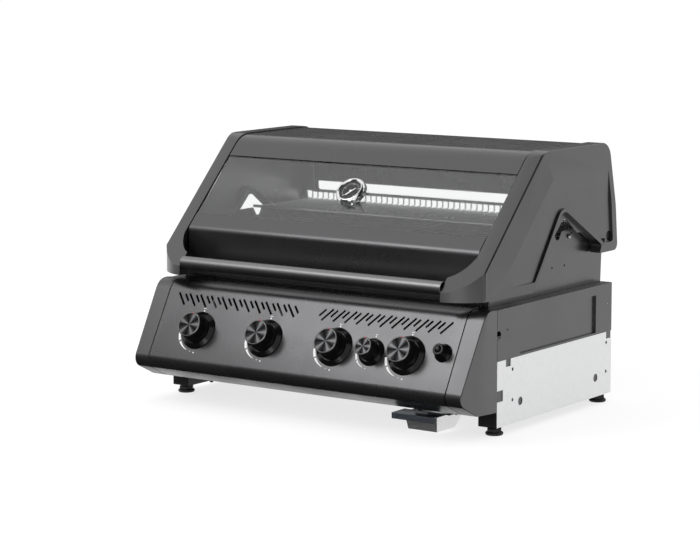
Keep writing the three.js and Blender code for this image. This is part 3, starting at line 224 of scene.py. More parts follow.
def point_start(name, spot):
    clear_selection()
    bpy.ops.mesh.primitive_plane_add(size=MM)
    piece = named(bpy.context.object, name)
    edit(piece)
    bpy.ops.mesh.merge(type="CENTER")
    bpy.ops.transform.translate(value=spot)
    return piece


def trace(points):
    for before, after in zip(points, points[1:]):
        step = [b - a for a, b in zip(before, after)]
        bpy.ops.mesh.extrude_vertices_move(TRANSFORM_OT_translate={"value": step})


def lathe(name, profile, steps):
    """A turned piece about Z from a profile of (radius, height)."""
    points = [(radius, 0, height) for radius, height in profile]
    piece = point_start(name, points[0])
    trace(points)
    bpy.ops.mesh.select_all(action="SELECT")
    bpy.ops.mesh.spin(steps=steps, angle=2 * math.pi, center=(0, 0, 0), axis=(0, 0, 1))
    bpy.ops.mesh.select_all(action="SELECT")
    bpy.ops.mesh.remove_doubles(threshold=WELD)
    face_outwards()
    done()
    return piece


def turned(name, profile, steps, degrees=SHADING):
    piece = lathe(name, profile, steps)
    smooth(piece, degrees)
    return piece


def slab(name, outline, low, high):
    """A flat plate of the outline, drawn in X and Y, from one height to another."""
    points = [(x, y, low) for x, y in outline]
    piece = point_start(name, points[0])
    trace(points)
    bpy.ops.mesh.select_all(action="SELECT")
    bpy.ops.mesh.edge_face_add()
    bpy.ops.mesh.extrude_region_move(TRANSFORM_OT_translate={"value": (0, 0, high - low)})
    face_outwards()
    done()
    return piece


def polar(radius, degrees):
    turn = math.radians(degrees)
    return radius * math.cos(turn), radius * math.sin(turn)


def ring_points(radius, count, centre=(0, 0)):
    turns = [2 * math.pi * i / count for i in range(count)]
    return [(centre[0] + radius * math.cos(turn), centre[1] + radius * math.sin(turn)) for turn in turns]


def blade(start, end, half_start, half_end):
    """The corners of a thin bar from one point to another, its width changing evenly."""
    aim = (end - start).normalized()
    side = Vector((-aim.y, aim.x))
    near, far = side * half_start, side * half_end
    return [start - near, end - far, end + far, start + near]


def joined(name, pieces):
    clear_selection()
    for piece in pieces:
        piece.select_set(True)
    bpy.context.view_layer.objects.active = pieces[0]
    bpy.ops.object.join()
    return named(pieces[0], name)


def face_width(face):
    longest = max(edge.calc_length() for edge in face.edges)
    return face.calc_area() / longest


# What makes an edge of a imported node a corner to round: its angle, its length, and the room beside it
SHARP = math.radians(18)
BEND_STEP = 32
STRIP = 26 * MM
SHORT = 2 * MM
ROOM = 1.6
# A wide sheet's bends have longer steps, so their strips are told apart by these values
WIDE_BENDS = {"bend_step": 40, "strip": 30 * MM}


def is_fold(edge, bend_step, strip):
    """An edge to round: a real corner, not a step of a faceted bend."""
    if len(edge.link_faces) != 2:
        return False
    angle = edge.calc_face_angle(0)
    if angle < SHARP:
        return False
    narrow = min(face_width(face) for face in edge.link_faces)
    return angle > math.radians(bend_step) or narrow > strip


def pick_folds(piece, edge, bend_step, strip, shortest):
    """Selects the real corners whose neighbours leave room for a rounding of that size."""
    shape = bmesh.from_edit_mesh(piece.data)
    shape.edges.index_update()
    folds = {each.index for each in shape.edges
             if each.calc_length() > shortest and is_fold(each, bend_step, strip)
             and all(face.material_index == 0 for face in each.link_faces)}

    def has_room(each):
        beside = [other for vertex in each.verts for other in vertex.link_edges if other.index not in folds]
        return all(other.calc_length() > ROOM * edge for other in beside)

    pick(piece, "EDGE", lambda each: each.index in folds and has_room(each))


def bevel(edge, segments):
    bpy.ops.mesh.bevel(offset=edge, offset_type="OFFSET", segments=segments, profile=0.5, clamp_overlap=True)


def coat_node(node, edge, *materials, segments=2, shading=SHADING, bend_step=BEND_STEP, strip=STRIP,
              shortest=SHORT, prepare=None, mend=None):
    """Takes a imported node's place with a copy whose faces are merged and whose corners are rounded."""
    piece = named(add_object("finished_" + node, NODES[node].data.copy()), "finished_" + node)
    paint(piece, *materials)
    hold(piece)
    bpy.ops.mesh.customdata_custom_splitnormals_clear()
    edit(piece, "EDGE")
    bpy.ops.mesh.remove_doubles(threshold=CAD_WELD)
    bpy.ops.mesh.dissolve_limited(angle_limit=CAD_FLAT)
    if prepare:
        prepare(piece)
    pick_folds(piece, edge, bend_step, strip, shortest)
    bevel(edge, segments)
    if mend:
        mend(piece)
    done()
    smooth(piece, shading)
    finish(piece, BODY_OF[node], SLOT_OF[node], *materials, stands_for=(node,))


def side_of(name):
    """Which way is outwards along X for a piece with its side in its name."""
    return 1 if name.endswith("right") else -1


def corners(node):
    return [Vector(corner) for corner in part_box(node)]


def shift(piece, test, move):
    if pick(piece, "VERT", test):
        bpy.ops.transform.translate(value=move)


def paint_shade_black(piece, test):
    """Paints the faces that pass the test black, as painted shade in a joint or slot, and leaves them selected."""
    found = pick(piece, "FACE", test)
    for face in bmesh.from_edit_mesh(piece.data).faces:
        if face.select:
            face.material_index = 1
    return found


SEAM_NEAR = 1 * MM
END_NEAR = 0.1 * MM


def paint_seam_shade(piece, seam):
    """Paints a casting's narrow wall beside the open seam black, as painted shade in the seam."""
    side = side_of(piece.name)

    def in_seam(face):
        spot = face.calc_center_median()
        return face.normal.x * side < -FACING and abs(spot.x * side - seam) < SEAM_NEAR

    paint_shade_black(piece, in_seam)


def draw_in_ends(piece):
    """Draws a sheet's two ends in, so that an open seam shows beside each casting."""
    gap = sizes().seam_gap
    reach = max(vertex.co.x for vertex in bmesh.from_edit_mesh(piece.data).verts) - END_NEAR
    for side in (1, -1):
        shift(piece, lambda vertex: vertex.co.x * side > reach, (-side * gap, 0, 0))


def axis_matrix(point, axis, across=Vector((1, 0, 0))):
    """Turns local Z to the axis, with local X kept across the grill."""
    out = Vector(axis).normalized()
    up = out.cross(across).normalized()
    side = up.cross(out)
    matrix = Matrix((side, up, out)).transposed().to_4x4()
    matrix.translation = Vector(point)
    return matrix


# The joints of the knobs stand this far out of the panel's face
PIVOT_OFF = 20 * MM


def knob_seat(knob):
    """Where a knob's axis meets the panel's face, and the direction out of the face."""
    joint = JOINTS["knob_turn_" + knob]
    out = Vector(joint["axis"]).normalized()
    return Vector(joint["pos_m"]) - out * PIVOT_OFF, out


# Shader groups

def preset(made, values):
    for name, value in values.items():
        made.inputs[name].default_value = value


def put(tree, kind, values=None, **settings):
    """A shader node with its settings and the values of its inputs."""
    made = tree.nodes.new(kind)
    for key, value in settings.items():
        setattr(made, key, value)
    preset(made, values or {})
    return made


def connect(tree, *links):
    """Makes each link, given as a node and its output, then a node and its input."""
    for start, way_out, end, way_in in links:
        tree.links.new(start.outputs[way_out], end.inputs[way_in])


GRAIN_SCALE = 1500.0
UNEVEN_INPUTS = [
    ("Vector", "NodeSocketVector", (0, 0, 0)),
    ("Colour", "NodeSocketColor", (0.5, 0.5, 0.5, 1)),
    ("Patch colour", "NodeSocketColor", (0.4, 0.4, 0.4, 1)),
    ("Patch scale", "NodeSocketFloat", 12.0),
    ("Grain scale", "NodeSocketFloat", GRAIN_SCALE),
    ("Roughness low", "NodeSocketFloat", 0.3),
    ("Roughness high", "NodeSocketFloat", 0.5),
]
UNEVEN_OUTPUTS = [
    ("Colour", "NodeSocketColor"),
    ("Roughness", "NodeSocketFloat"),
    ("Height", "NodeSocketFloat"),
]


def surface_group():
    """Uneven colour and gloss with a fine grain, at real scale."""
    tree = bpy.data.node_groups.get("Uneven surface")
    if tree:
        return tree
    tree = bpy.data.node_groups.new("Uneven surface", "ShaderNodeTree")
    for name, kind, value in UNEVEN_INPUTS:
        tree.interface.new_socket(name=name, in_out="INPUT", socket_type=kind).default_value = value
    for name, kind in UNEVEN_OUTPUTS:
        tree.interface.new_socket(name=name, in_out="OUTPUT", socket_type=kind)
    enter = put(tree, "NodeGroupInput")
    leave = put(tree, "NodeGroupOutput")
    patches = put(tree, "ShaderNodeTexNoise", {"Detail": 4})
    grain = put(tree, "ShaderNodeTexNoise", {"Detail": 2})
    blend = put(tree, "ShaderNodeMix", data_type="RGBA")
    gloss = put(tree, "ShaderNodeMapRange", {"From Min": 0.3, "From Max": 0.7})
    connect(
        tree,
        (enter, "Vector", patches, "Vector"),
        (enter, "Patch scale", patches, "Scale"),
        (enter, "Vector", grain, "Vector"),
        (enter, "Grain scale", grain, "Scale"),
        (patches, "Fac", blend, 0),
        (enter, "Colour", blend, 6),
        (enter, "Patch colour", blend, 7),
        (blend, 2, leave, "Colour"),
        (patches, "Fac", gloss, "Value"),
        (enter, "Roughness low", gloss, "To Min"),
        (enter, "Roughness high", gloss, "To Max"),
        (gloss, "Result", leave, "Roughness"),
        (grain, "Fac", leave, "Height"),
    )
    return tree


def new_material(name):
    material = bpy.data.materials.new(name)
    material.use_nodes = True
    return material, material.node_tree, material.node_tree.nodes["Principled BSDF"]


def uneven(tree, tone, rough, patch_share, patch_scale, grain_scale):
    """The group placed in a material, with that material's own values."""
    return put(tree, "ShaderNodeGroup", {
        "Colour": (*tone, 1),
        "Patch colour": (*(channel * patch_share for channel in tone), 1),
        "Patch scale": patch_scale,
        "Grain scale": grain_scale,
        "Roughness low": rough[0],
        "Roughness high": rough[1],
    }, node_tree=surface_group())


def mix_out(tree, output, share, plain, other):
    """Mixes two shaders by a share, each given as a node and its output, and leads them out."""
    mix = put(tree, "ShaderNodeMixShader")
    connect(tree, (*share, mix, "Fac"), (*plain, mix, 1), (*other, mix, 2),
            (mix, "Shader", tree.nodes[output], "Surface"))


def surface(name, tone, rough, metallic=0.0, specular=0.5, patch_share=0.9, patch_scale=12.0,
            grain_scale=GRAIN_SCALE, grain_depth=0.02 * MM, stretch=(1, 1, 1)):
    material, tree, shader = new_material(name)
    where = put(tree, "ShaderNodeTexCoord")
    turn = put(tree, "ShaderNodeMapping", {"Scale": stretch})
    group = uneven(tree, tone, rough, patch_share, patch_scale, grain_scale)
    bump = put(tree, "ShaderNodeBump", {"Distance": grain_depth})
    connect(tree, (where, "Object", turn, "Vector"), (turn, "Vector", group, "Vector"),
            (group, "Colour", shader, "Base Color"), (group, "Roughness", shader, "Roughness"),
            (group, "Height", bump, "Height"), (bump, "Normal", shader, "Normal"))
    preset(shader, {"Metallic": metallic, "Specular IOR Level": specular})
    return material


# The wiping marks on a glass: their tone as a share of its own, their scale, and what they add to roughness
WIPED_SHARE = 0.98
WIPED_SCALE = 9
WIPED_ROUGH = 0.02


def clear_glass(name, tint, rough, ior):
    """Clear glass that lets lamps through as real glass does, with faint wiping marks."""
    material, tree, shader = new_material(name)
    where = put(tree, "ShaderNodeTexCoord")
    group = uneven(tree, tint, (rough, rough + WIPED_ROUGH), WIPED_SHARE, WIPED_SCALE, GRAIN_SCALE)
    rays = put(tree, "ShaderNodeLightPath")
    clear = put(tree, "ShaderNodeBsdfTransparent", {"Color": (*tint, 1)})
    connect(tree, (where, "Object", group, "Vector"), (group, "Colour", shader, "Base Color"),
            (group, "Roughness", shader, "Roughness"))
    preset(shader, {"Metallic": 0, "Transmission Weight": 1, "IOR": ior})
    mix_out(tree, "Material Output", (rays, "Is Shadow Ray"), (shader, "BSDF"), (clear, "BSDF"))
    return material


def ramp(tree, stops):
    made = put(tree, "ShaderNodeValToRGB")
    made.color_ramp.interpolation = "EASE"
    elements = made.color_ramp.elements
    elements[0].position, elements[0].color = stops[0][0], (*stops[0][1], 1)
    elements[1].position, elements[1].color = stops[-1][0], (*stops[-1][1], 1)
    for position, tone in stops[1:-1]:
        elements.new(position).color = (*tone, 1)
    return made


# The painted highlight rays on a knob's cap, standing in for the reflections of spun metal, in degrees about its
# axis, and half of the span of each
CAP_PAINTED_RAYS = [-132, -56, 5, 74, 160]
CAP_PAINTED_RAY_HALF = 19
# Painted tones of the cap: the middle of each painted highlight ray, its fading edge, and the painted dark between
# rays
CAP_PAINTED_BRIGHT = (0.15, 0.15, 0.154)
CAP_PAINTED_FADING = (0.022, 0.022, 0.023)
CAP_PAINTED_DARK = (0.004, 0.004, 0.0042)
CAP_GROOVES = 22
CAP_GROOVE_DEPTH = 0.02 * MM
CAP_ROUGH = 0.38


def painted_ray_stops():
    """The painted tones of a cap round its whole turn: painted highlight rays, with painted dark half-way between
    two rays.
    """
    places = [(ray + 180) / 360 for ray in CAP_PAINTED_RAYS]
    fade = CAP_PAINTED_RAY_HALF / 360
    stops = [((spot + after) / 2, CAP_PAINTED_DARK) for spot, after in zip(places, places[1:])]
    for spot in places:
        stops += [(spot - fade, CAP_PAINTED_FADING), (spot, CAP_PAINTED_BRIGHT), (spot + fade, CAP_PAINTED_FADING)]
    return [(0.0, CAP_PAINTED_DARK)] + sorted(stops) + [(1.0, CAP_PAINTED_DARK)]


def spun_cap_painted_rays():
    """Turned metal with its circular grooves as a bump, and the rays of light from the middle painted into its
    colour as a painted reflection.
    """
    material, tree, shader = new_material("Spun metal cap")
    where = put(tree, "ShaderNodeTexCoord")
    centred = put(tree, "ShaderNodeMapping", {"Location": (-0.5, -0.5, 0)})
    split = put(tree, "ShaderNodeSeparateXYZ")
    angle = put(tree, "ShaderNodeMath", operation="ARCTAN2")
    share = put(tree, "ShaderNodeMapRange", {"From Min": -math.pi, "From Max": math.pi})
    # The ramp paints the highlight rays into the base colour by the angle about the knob's axis
    rays = ramp(tree, painted_ray_stops())
    rings = put(tree, "ShaderNodeTexWave", {"Scale": CAP_GROOVES}, wave_type="RINGS",
                rings_direction="SPHERICAL")
    bump = put(tree, "ShaderNodeBump", {"Distance": CAP_GROOVE_DEPTH})
    connect(tree, (where, "UV", centred, "Vector"), (centred, "Vector", split, "Vector"),
            (centred, "Vector", rings, "Vector"), (split, "Y", angle, 0), (split, "X", angle, 1),
            (angle, "Value", share, "Value"), (share, "Result", rays, "Fac"),
            (rays, "Color", shader, "Base Color"), (rings, "Fac", bump, "Height"),
            (bump, "Normal", shader, "Normal"))
    preset(shader, {"Metallic": 1, "Roughness": CAP_ROUGH})
    return material


# Each coat or metal: its material's name, its tone, the span of its roughness, and what sets it apart
SURFACES = {
    "anthracite": ("Anthracite powder coat", "anthracite", (0.24, 0.3),
                   {"metallic": 0.93, "grain_scale": 1900, "grain_depth": 0.015 * MM}),
    "lid front": ("Lid front coat", "anthracite", (0.26, 0.32), {"metallic": 0.93, "grain_depth": 0.01 * MM}),
    "cast": ("Anthracite coated casting", "anthracite", (0.27, 0.33),
             {"metallic": 0.93, "grain_scale": 1400}),
    # The black coat is real on the floor frame and hinge pins, and painted shade on the walls of the seams and
    # slots
    "black": ("Black coat", "black", (0.32, 0.42), {"specular": 0.35}),
    "knob": ("Gloss black plastic", "knob", (0.12, 0.18), {"specular": 0.22, "grain_depth": 0.004 * MM}),
    "knob satin": ("Satin black plastic", "knob", (0.35, 0.45), {"specular": 0.35, "grain_depth": 0.01 * MM}),
    "zinc": ("Galvanised sheet", "zinc", (0.3, 0.42),
             {"metallic": 0.6, "patch_share": 0.95, "patch_scale": 90, "grain_depth": 0.01 * MM}),
    "steel": ("Satin steel", "steel", (0.26, 0.36),
              {"metallic": 1.0, "patch_scale": 40, "stretch": (0.03, 1, 1), "grain_depth": 0.01 * MM}),
    "handle": ("Dark satin steel", "handle", (0.3, 0.38),
               {"metallic": 1.0, "patch_scale": 60, "stretch": (0.02, 1, 1), "grain_depth": 0.01 * MM}),
    "chrome": ("Bright chrome", "chrome", (0.06, 0.12),
               {"metallic": 1.0, "patch_share": 0.97, "grain_depth": 0.002 * MM}),
    "mirror": ("Polished folded steel", "mirror", (0.08, 0.14),
               {"metallic": 0.86, "grain_depth": 0.003 * MM}),
    # Rack wire made less metallic than chrome so that it shows bright: a painted highlight on the wires
    "wire": ("Bright rack wire", "chrome", (0.2, 0.3),
             {"metallic": 0.55, "patch_share": 0.97, "grain_depth": 0.002 * MM}),
    "tray": ("Bright folded steel", "tray", (0.2, 0.28),
             {"metallic": 0.88, "patch_share": 0.97, "grain_depth": 0.004 * MM}),
    "marks": ("White print", "marks", (0.45, 0.55), {"patch_share": 0.97, "grain_depth": 0.003 * MM}),
    "red": ("Red enamel dot", "red", (0.3, 0.4), {"patch_share": 0.95, "grain_depth": 0.003 * MM}),
    "iron": ("Enamelled iron", "iron", (0.35, 0.55), {"grain_scale": 700, "grain_depth": 0.1 * MM}),
    "brass": ("Machined brass", "brass", (0.25, 0.35), {"metallic": 1.0, "grain_depth": 0.01 * MM}),
    "foot": ("Black foot", "black", (0.45, 0.6), {"specular": 0.4, "grain_depth": 0.03 * MM}),
    "dial": ("Black dial", "knob", (0.3, 0.4), {"grain_depth": 0.003 * MM}),
}
# Each glass: its material's name, its tint, its roughness and its index of refraction
GLASSES = {
    "glass": ("Lid glass", (0.9, 0.91, 0.91), 0.02, 1.62),
    "lens": ("Dial lens", (0.97, 0.97, 0.97), 0.01, 1.15),
}
MADE = {}


def make_finish(name):
    if name == "cap":
        return spun_cap_painted_rays()
    if name in GLASSES:
        return clear_glass(*GLASSES[name])
    title, tone, rough, settings = SURFACES[name]
    return surface(title, getattr(bpy.context.scene.grill_colours, tone), rough, **settings)


def finish_of(name):
    """The material of that name, made at its first use."""
    if name not in MADE:
        MADE[name] = make_finish(name)
    return MADE[name]


# Lid

class GRILL_OT_lid(bpy.types.Operator):
    """Sheets, glass and cast ends of the lid"""

    bl_idname = "mesh.grill_lid"
    bl_label = "Lid"

    def execute(self, context):
        fold = sizes().sheet_fold
        coat_node("lid_shell", fold, finish_of("anthracite"), prepare=draw_in_ends, **WIDE_BENDS)
        coat_node("lid_front", fold, finish_of("lid front"), prepare=draw_in_ends)
        coat_node("lid_glass", fold, finish_of("glass"), prepare=draw_in_ends)
        for side in SIDES:
            # The black second material is painted shade on the wall beside the open seam
            coat_node("lid_end_" + side, fold, finish_of("cast"), finish_of("black"),
                      shading=ROUND_SHADING, prepare=shape_lid_end)
            notch_web(side)
        glass_beads()
        return {"FINISHED"}


# Places on a lid end: the slope is where height less depth has this value, the leg stands in front of its
# depth, the crest lies between its two depths and above its height, and the rest are distances out from
# the grill's middle
SLOPE = 495.9 * MM
SLOPE_NEAR = SLOPE - 2 * MM
LEG_FRONT = -185.5 * MM
CREST_FROM = 19 * MM
CREST_TO = 30 * MM
CREST_LOW = 514 * MM
OUTER_EDGE = 380 * MM
LOBE_ROOT = 378 * MM
LOBE_DRAW = 1 * MM
CREST_LEAN = 0.7


def lean_facet(piece):
    """Sets the outer front edge of a lid end back, so that the slope's facet leans more."""
    side = side_of(piece.name)
    lean = sizes().facet_lean

    def on_front(vertex):
        x, y, z = vertex.co
        return x * side > OUTER_EDGE and y < CREST_FROM and (z - y > SLOPE_NEAR or y < LEG_FRONT)

    def on_crest(vertex):
        x, y, z = vertex.co
        return x * side > OUTER_EDGE and CREST_FROM < y < CREST_TO and z > CREST_LOW

    def at_root(vertex):
        return LOBE_ROOT < vertex.co.x * side < OUTER_EDGE and vertex.co.y < LEG_FRONT

    shift(piece, on_front, (-side * lean, 0, 0))
    shift(piece, on_crest, (-side * lean * CREST_LEAN, 0, 0))
    shift(piece, at_root, (-side * LOBE_DRAW, 0, 0))


# The contour is found by its distance out, its shortest edge, the height of the top, the least depth and
# height of the rear, and a point in depth and height about which its faces look outwards
CONTOUR_IN = 379.5 * MM
CONTOUR_LENGTH = 1.8 * MM
TOP_FROM = 500 * MM
REAR_FROM = (240 * MM, 346 * MM)
END_MIDDLE = (100 * MM, 400 * MM)
CAST_SEGMENTS = 4
# How much of a face's normal may point outwards on the contour's rim, and must on the flat beside it
CONTOUR_RIM = 0.45
CONTOUR_SIDE = 0.6


def round_contour(piece):
    """Rounds the edge that runs over a lid end's leg, slope and top and down its rear."""
    side = side_of(piece.name)

    def outside(vertex):
        x, y, z = vertex.co
        rear = y > REAR_FROM[0] and z > REAR_FROM[1]
        return x * side > CONTOUR_IN and (z - y > SLOPE_NEAR or z > TOP_FROM or y < LEG_FRONT or rear)

    def on_contour(each):
        if len(each.link_faces) != 2 or each.calc_length() < CONTOUR_LENGTH:
            return False
        rim, flat = sorted(each.link_faces, key=lambda face: abs(face.normal.x))
        spot = rim.calc_center_median()
        outward = rim.normal.y * (spot.y - END_MIDDLE[0]) + rim.normal.z * (spot.z - END_MIDDLE[1]) > 0
        crossed = abs(rim.normal.x) < CONTOUR_RIM and abs(flat.normal.x) > CONTOUR_SIDE
        return crossed and outward and all(outside(vertex) for vertex in each.verts)

    pick(piece, "EDGE", on_contour)
    bevel(sizes().cast_edge, CAST_SEGMENTS)


def shape_lid_end(piece):
    paint_seam_shade(piece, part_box("lid_shell")[1][0])
    lean_facet(piece)
    round_contour(piece)


# The web inside each lid end's notch, in millimetres of depth and height, and the side plane it lies in
NOTCH_WEB = [(40, 352), (72, 402), (90, 408), (110, 405), (190, 350), (146, 354), (106, 383), (97, 386),
             (90, 383), (59, 354)]
NOTCH_PLANE = 381.5 * MM
WEB_SHEET = 1.5 * MM


def side_matrix(x, outwards):
    """Turns a drawing in depth and height into a side plane of the grill."""
    matrix = Matrix(((0, 0, outwards), (1, 0, 0), (0, 1, 0))).to_4x4()
    matrix.translation = (x, 0, 0)
    return matrix


def notch_web(side):
    outwards = side_of(side)
    web = slab("notch_web_" + side, [(y * MM, z * MM) for y, z in NOTCH_WEB], 0, WEB_SHEET)
    place(web, side_matrix(outwards * NOTCH_PLANE, outwards))
    edit(web)
    face_outwards()
    done()
    finish(web, "lid", SLOT_OF["lid_end_" + side], finish_of("cast"))


BEAD = 0.9 * MM
BEAD_INSET = 4 * MM
UPPER_BEAD_DROP = 5 * MM
ROD_STEPS = 12
ROD_ROUNDING = 0.4


def rod(name, start, end, y, z, radius):
    """A straight round wire across the grill with rounded ends, from one place along it to another."""
    span = end - start
    ease = radius * ROD_ROUNDING
    piece = turned(name, [
        (0, 0), (radius - ease, 0), (radius, ease), (radius, span - ease), (radius - ease, span),
        (0, span)], ROD_STEPS, WIRE_SHADING)
    place(piece, axis_matrix((start, y, z), (1, 0, 0), Vector((0, 1, 0))))
    return piece


def glass_beads():
    """The thin metal beads that hold the glass along its two long edges."""
    low, high = corners("lid_glass")
    reach = high.x - BEAD_INSET
    lower = ("glass_bead_lower", low.y + BEAD / 2, low.y + SLOPE - BEAD / 2)
    upper = ("glass_bead_upper", high.z - SLOPE - UPPER_BEAD_DROP, high.z - UPPER_BEAD_DROP - BEAD / 2)
    for name, y, z in (lower, upper):
        finish(rod(name, -reach, reach, y, z, BEAD), "lid", SLOT_OF["lid_handle"], finish_of("steel"))


HANDLE_STEPS = 64
HANDLE_WALL = 1.6 * MM
HANDLE_FOLD = 0.5 * MM


class GRILL_OT_handle(bpy.types.Operator):
    """Round handle tube between the lid's lobes"""

    bl_idname = "mesh.grill_handle"
    bl_label = "Lid handle"

    def execute(self, context):
        low, high = corners("lid_handle")
        half = (high.x - low.x) / 2
        radius = (high.z - low.z) / 2
        bore = radius - HANDLE_WALL
        rim = radius - HANDLE_FOLD
        tube = turned("handle_tube", [
            (bore, -half), (rim, -half), (radius, HANDLE_FOLD - half), (radius, half - HANDLE_FOLD),
            (rim, half), (bore, half), (bore, -half)], HANDLE_STEPS)
        place(tube, axis_matrix((low + high) / 2, (1, 0, 0), Vector((0, 1, 0))))
        finish(tube, "lid", "steel", finish_of("handle"), stands_for=("lid_handle",))
        return {"FINISHED"}


# Thermometer, drawn about its own axis with height zero on the lid's sheet

DIAL_STEPS = 72
SMALL_STEPS = 24
SHEET = 1.5 * MM
BEZEL_R = 32 * MM
BEZEL_NECK_R = 30 * MM
BEZEL_INNER_R = 23 * MM
BEZEL_FOOT = 0.6 * MM
BEZEL_TOP = 14 * MM
BEZEL_EDGE = 1.2 * MM
BEZEL_SHADING = 28
# The pressed flats round the bezel: how many, the share of a turn that each takes, how far in from the rim
# and how high they reach, the line across the dial past which there are none, and how far they are pressed
BEZEL_FLATS = 14
FLAT_SPAN = (0.36, 0.64)
FLAT_DEEP = 2.4 * MM
FLAT_TOP = 8.5 * MM
FLAT_END = 8 * MM
FLAT_PRESS = 0.93
FACE_R = BEZEL_INNER_R - 0.3 * MM
FACE_BASE = -1.2 * MM
FACE_TOP = 8 * MM
LENS_BASE = 11 * MM
LENS_TOP = 12.9 * MM
PROBE_R = 4 * MM
PROBE_NUT_R = 10 * MM
PROBE_NUT = (-12.5 * MM, -6.6 * MM)
PROBE_END = -62 * MM
# The scale's ticks: how many, each long one's turn, its first angle and its step in degrees, and its rim
TICKS = 21
TICKS_TO_LONG = 5
TICK_FIRST = 225
TICK_STEP = 13.5
TICK_RIM = 19 * MM
LONG_TICK = {"inner": 14.8 * MM, "half": 0.55 * MM}
SHORT_TICK = {"inner": 16.8 * MM, "half": 0.3 * MM}
NEEDLE = (Vector((-7.0, -11.7)) * MM, Vector((8.3, 4.8)) * MM)
NEEDLE_HALVES = (1.5 * MM, 0.9 * MM)
NEEDLE_POINT = 3 * MM
NEEDLE_SPAN = (9 * MM, 9.5 * MM)


def dial_matrix():
    low, high = corners("thermometer_bezel")
    out = Vector((0, -1, 1)).normalized()
    return axis_matrix((low + high) / 2 - out * (BEZEL_TOP - SHEET) / 2, out)


def dial_bezel():
    piece = lathe("dial_bezel", [
        (BEZEL_INNER_R, -SHEET), (BEZEL_NECK_R, -SHEET), (BEZEL_NECK_R, BEZEL_FOOT),
        (BEZEL_R - BEZEL_EDGE, BEZEL_FOOT), (BEZEL_R, BEZEL_FOOT + BEZEL_EDGE), (BEZEL_R, 7 * MM),
        (BEZEL_R - BEZEL_EDGE, 10.4 * MM), (BEZEL_R - 3.2 * MM, 12.8 * MM), (BEZEL_R - 5 * MM, 13.8 * MM),
        (BEZEL_R - 6 * MM, BEZEL_TOP), (BEZEL_R - 7 * MM, 13.8 * MM), (BEZEL_INNER_R + 0.3 * MM, 12.4 * MM),
        (BEZEL_INNER_R, 11.8 * MM), (BEZEL_INNER_R, -SHEET)], DIAL_STEPS * 2)

    def in_flat(vertex):
        x, y, z = vertex.co
        turn = (math.atan2(y, x) / (2 * math.pi) * BEZEL_FLATS) % 1
        on_side = math.hypot(x, y) > BEZEL_R - FLAT_DEEP and 0 < z < FLAT_TOP
        return on_side and FLAT_SPAN[0] < turn < FLAT_SPAN[1] and y < FLAT_END

    edit(piece)
    pick(piece, "VERT", in_flat)
    bpy.ops.transform.resize(value=(FLAT_PRESS, FLAT_PRESS, 1), center_override=(0, 0, 0))
    done()
    smooth(piece, BEZEL_SHADING)
    return piece


def dial_scale():
    marks = []
    for index in range(TICKS):
        tick = SHORT_TICK if index % TICKS_TO_LONG else LONG_TICK
        aim = Vector(polar(1, TICK_FIRST - index * TICK_STEP))
        outline = blade(aim * tick["inner"], aim * TICK_RIM, tick["half"], tick["half"])
        marks.append(slab("dial_mark", outline, FACE_TOP, FACE_TOP + sizes().print_rise))
    return joined("dial_scale", marks)


def dial_needle():
    tail, tip = NEEDLE
    outline = blade(tail, tip, *NEEDLE_HALVES)
    outline.insert(2, tip + (tip - tail).normalized() * NEEDLE_POINT)
    return slab("dial_needle", outline, *NEEDLE_SPAN)


class GRILL_OT_thermometer(bpy.types.Operator):
    """Dial with its chrome bezel, lens, scale and needle"""

    bl_idname = "mesh.grill_thermometer"
    bl_label = "Thermometer"

    def execute(self, context):
        bezel = dial_bezel()
        face = turned("dial_face", [
            (0, FACE_BASE), (FACE_R, FACE_BASE), (FACE_R, FACE_TOP),
            (FACE_R - 0.5 * MM, FACE_TOP + 0.4 * MM), (FACE_R - 1.5 * MM, FACE_TOP),
            (0, FACE_TOP)], DIAL_STEPS)
        probe = turned("dial_probe", [
            (0, PROBE_END), (PROBE_R - 1 * MM, PROBE_END), (PROBE_R, PROBE_END + 2 * MM),
            (PROBE_R, PROBE_NUT[0]), (PROBE_NUT_R, PROBE_NUT[0]), (PROBE_NUT_R, PROBE_NUT[1]),
            (PROBE_R, PROBE_NUT[1]), (PROBE_R, -1.3 * MM), (0, -1.3 * MM)], SMALL_STEPS)
        scale = dial_scale()
        needle = dial_needle()
        hub = turned("dial_hub", [
            (0, FACE_TOP), (2.2 * MM, FACE_TOP), (2.2 * MM, 9.8 * MM), (1.6 * MM, 10.2 * MM),
            (0, 10.3 * MM)], SMALL_STEPS)
        lens = turned("dial_lens", [
            (0, LENS_BASE), (FACE_R, LENS_BASE), (FACE_R, LENS_BASE + 0.8 * MM),
            (BEZEL_INNER_R * 0.6, LENS_TOP - 0.3 * MM), (0, LENS_TOP)], DIAL_STEPS)
        matrix = dial_matrix()
        for piece in (bezel, face, probe, scale, needle, hub, lens):
            place(piece, matrix)
        finish(bezel, "lid", "chrome", finish_of("chrome"), stands_for=("thermometer_bezel",))
        finish(face, "lid", "dial", finish_of("dial"), stands_for=("thermometer_body",))
        finish(probe, "lid", "steel", finish_of("steel"))
        finish(scale, "lid", "dial", finish_of("marks"))
        finish(needle, "lid", "dial", finish_of("marks"))
        finish(hub, "lid", "chrome", finish_of("chrome"))
        finish(lens, "lid", "glass", finish_of("lens"))
        return {"FINISHED"}


# Printed marks, drawn in the panel face's own directions about each knob

# The dot above the knob, the radius of its arc, and the scale of all but the thinnest marks
LARGE_MARKS = {"dot": (-0.6 * MM, 42 * MM), "arc": 45 * MM, "scale": 1.0}
SMALL_MARKS = {"dot": (0.2 * MM, 31.8 * MM), "arc": 33.5 * MM, "scale": 0.75}
DOT_R = 1.9 * MM
DOT_STEPS = 20
BAR_UP = 4.2 * MM
BAR_HALF = 3.6 * MM
BAR_TALL = 1.1 * MM
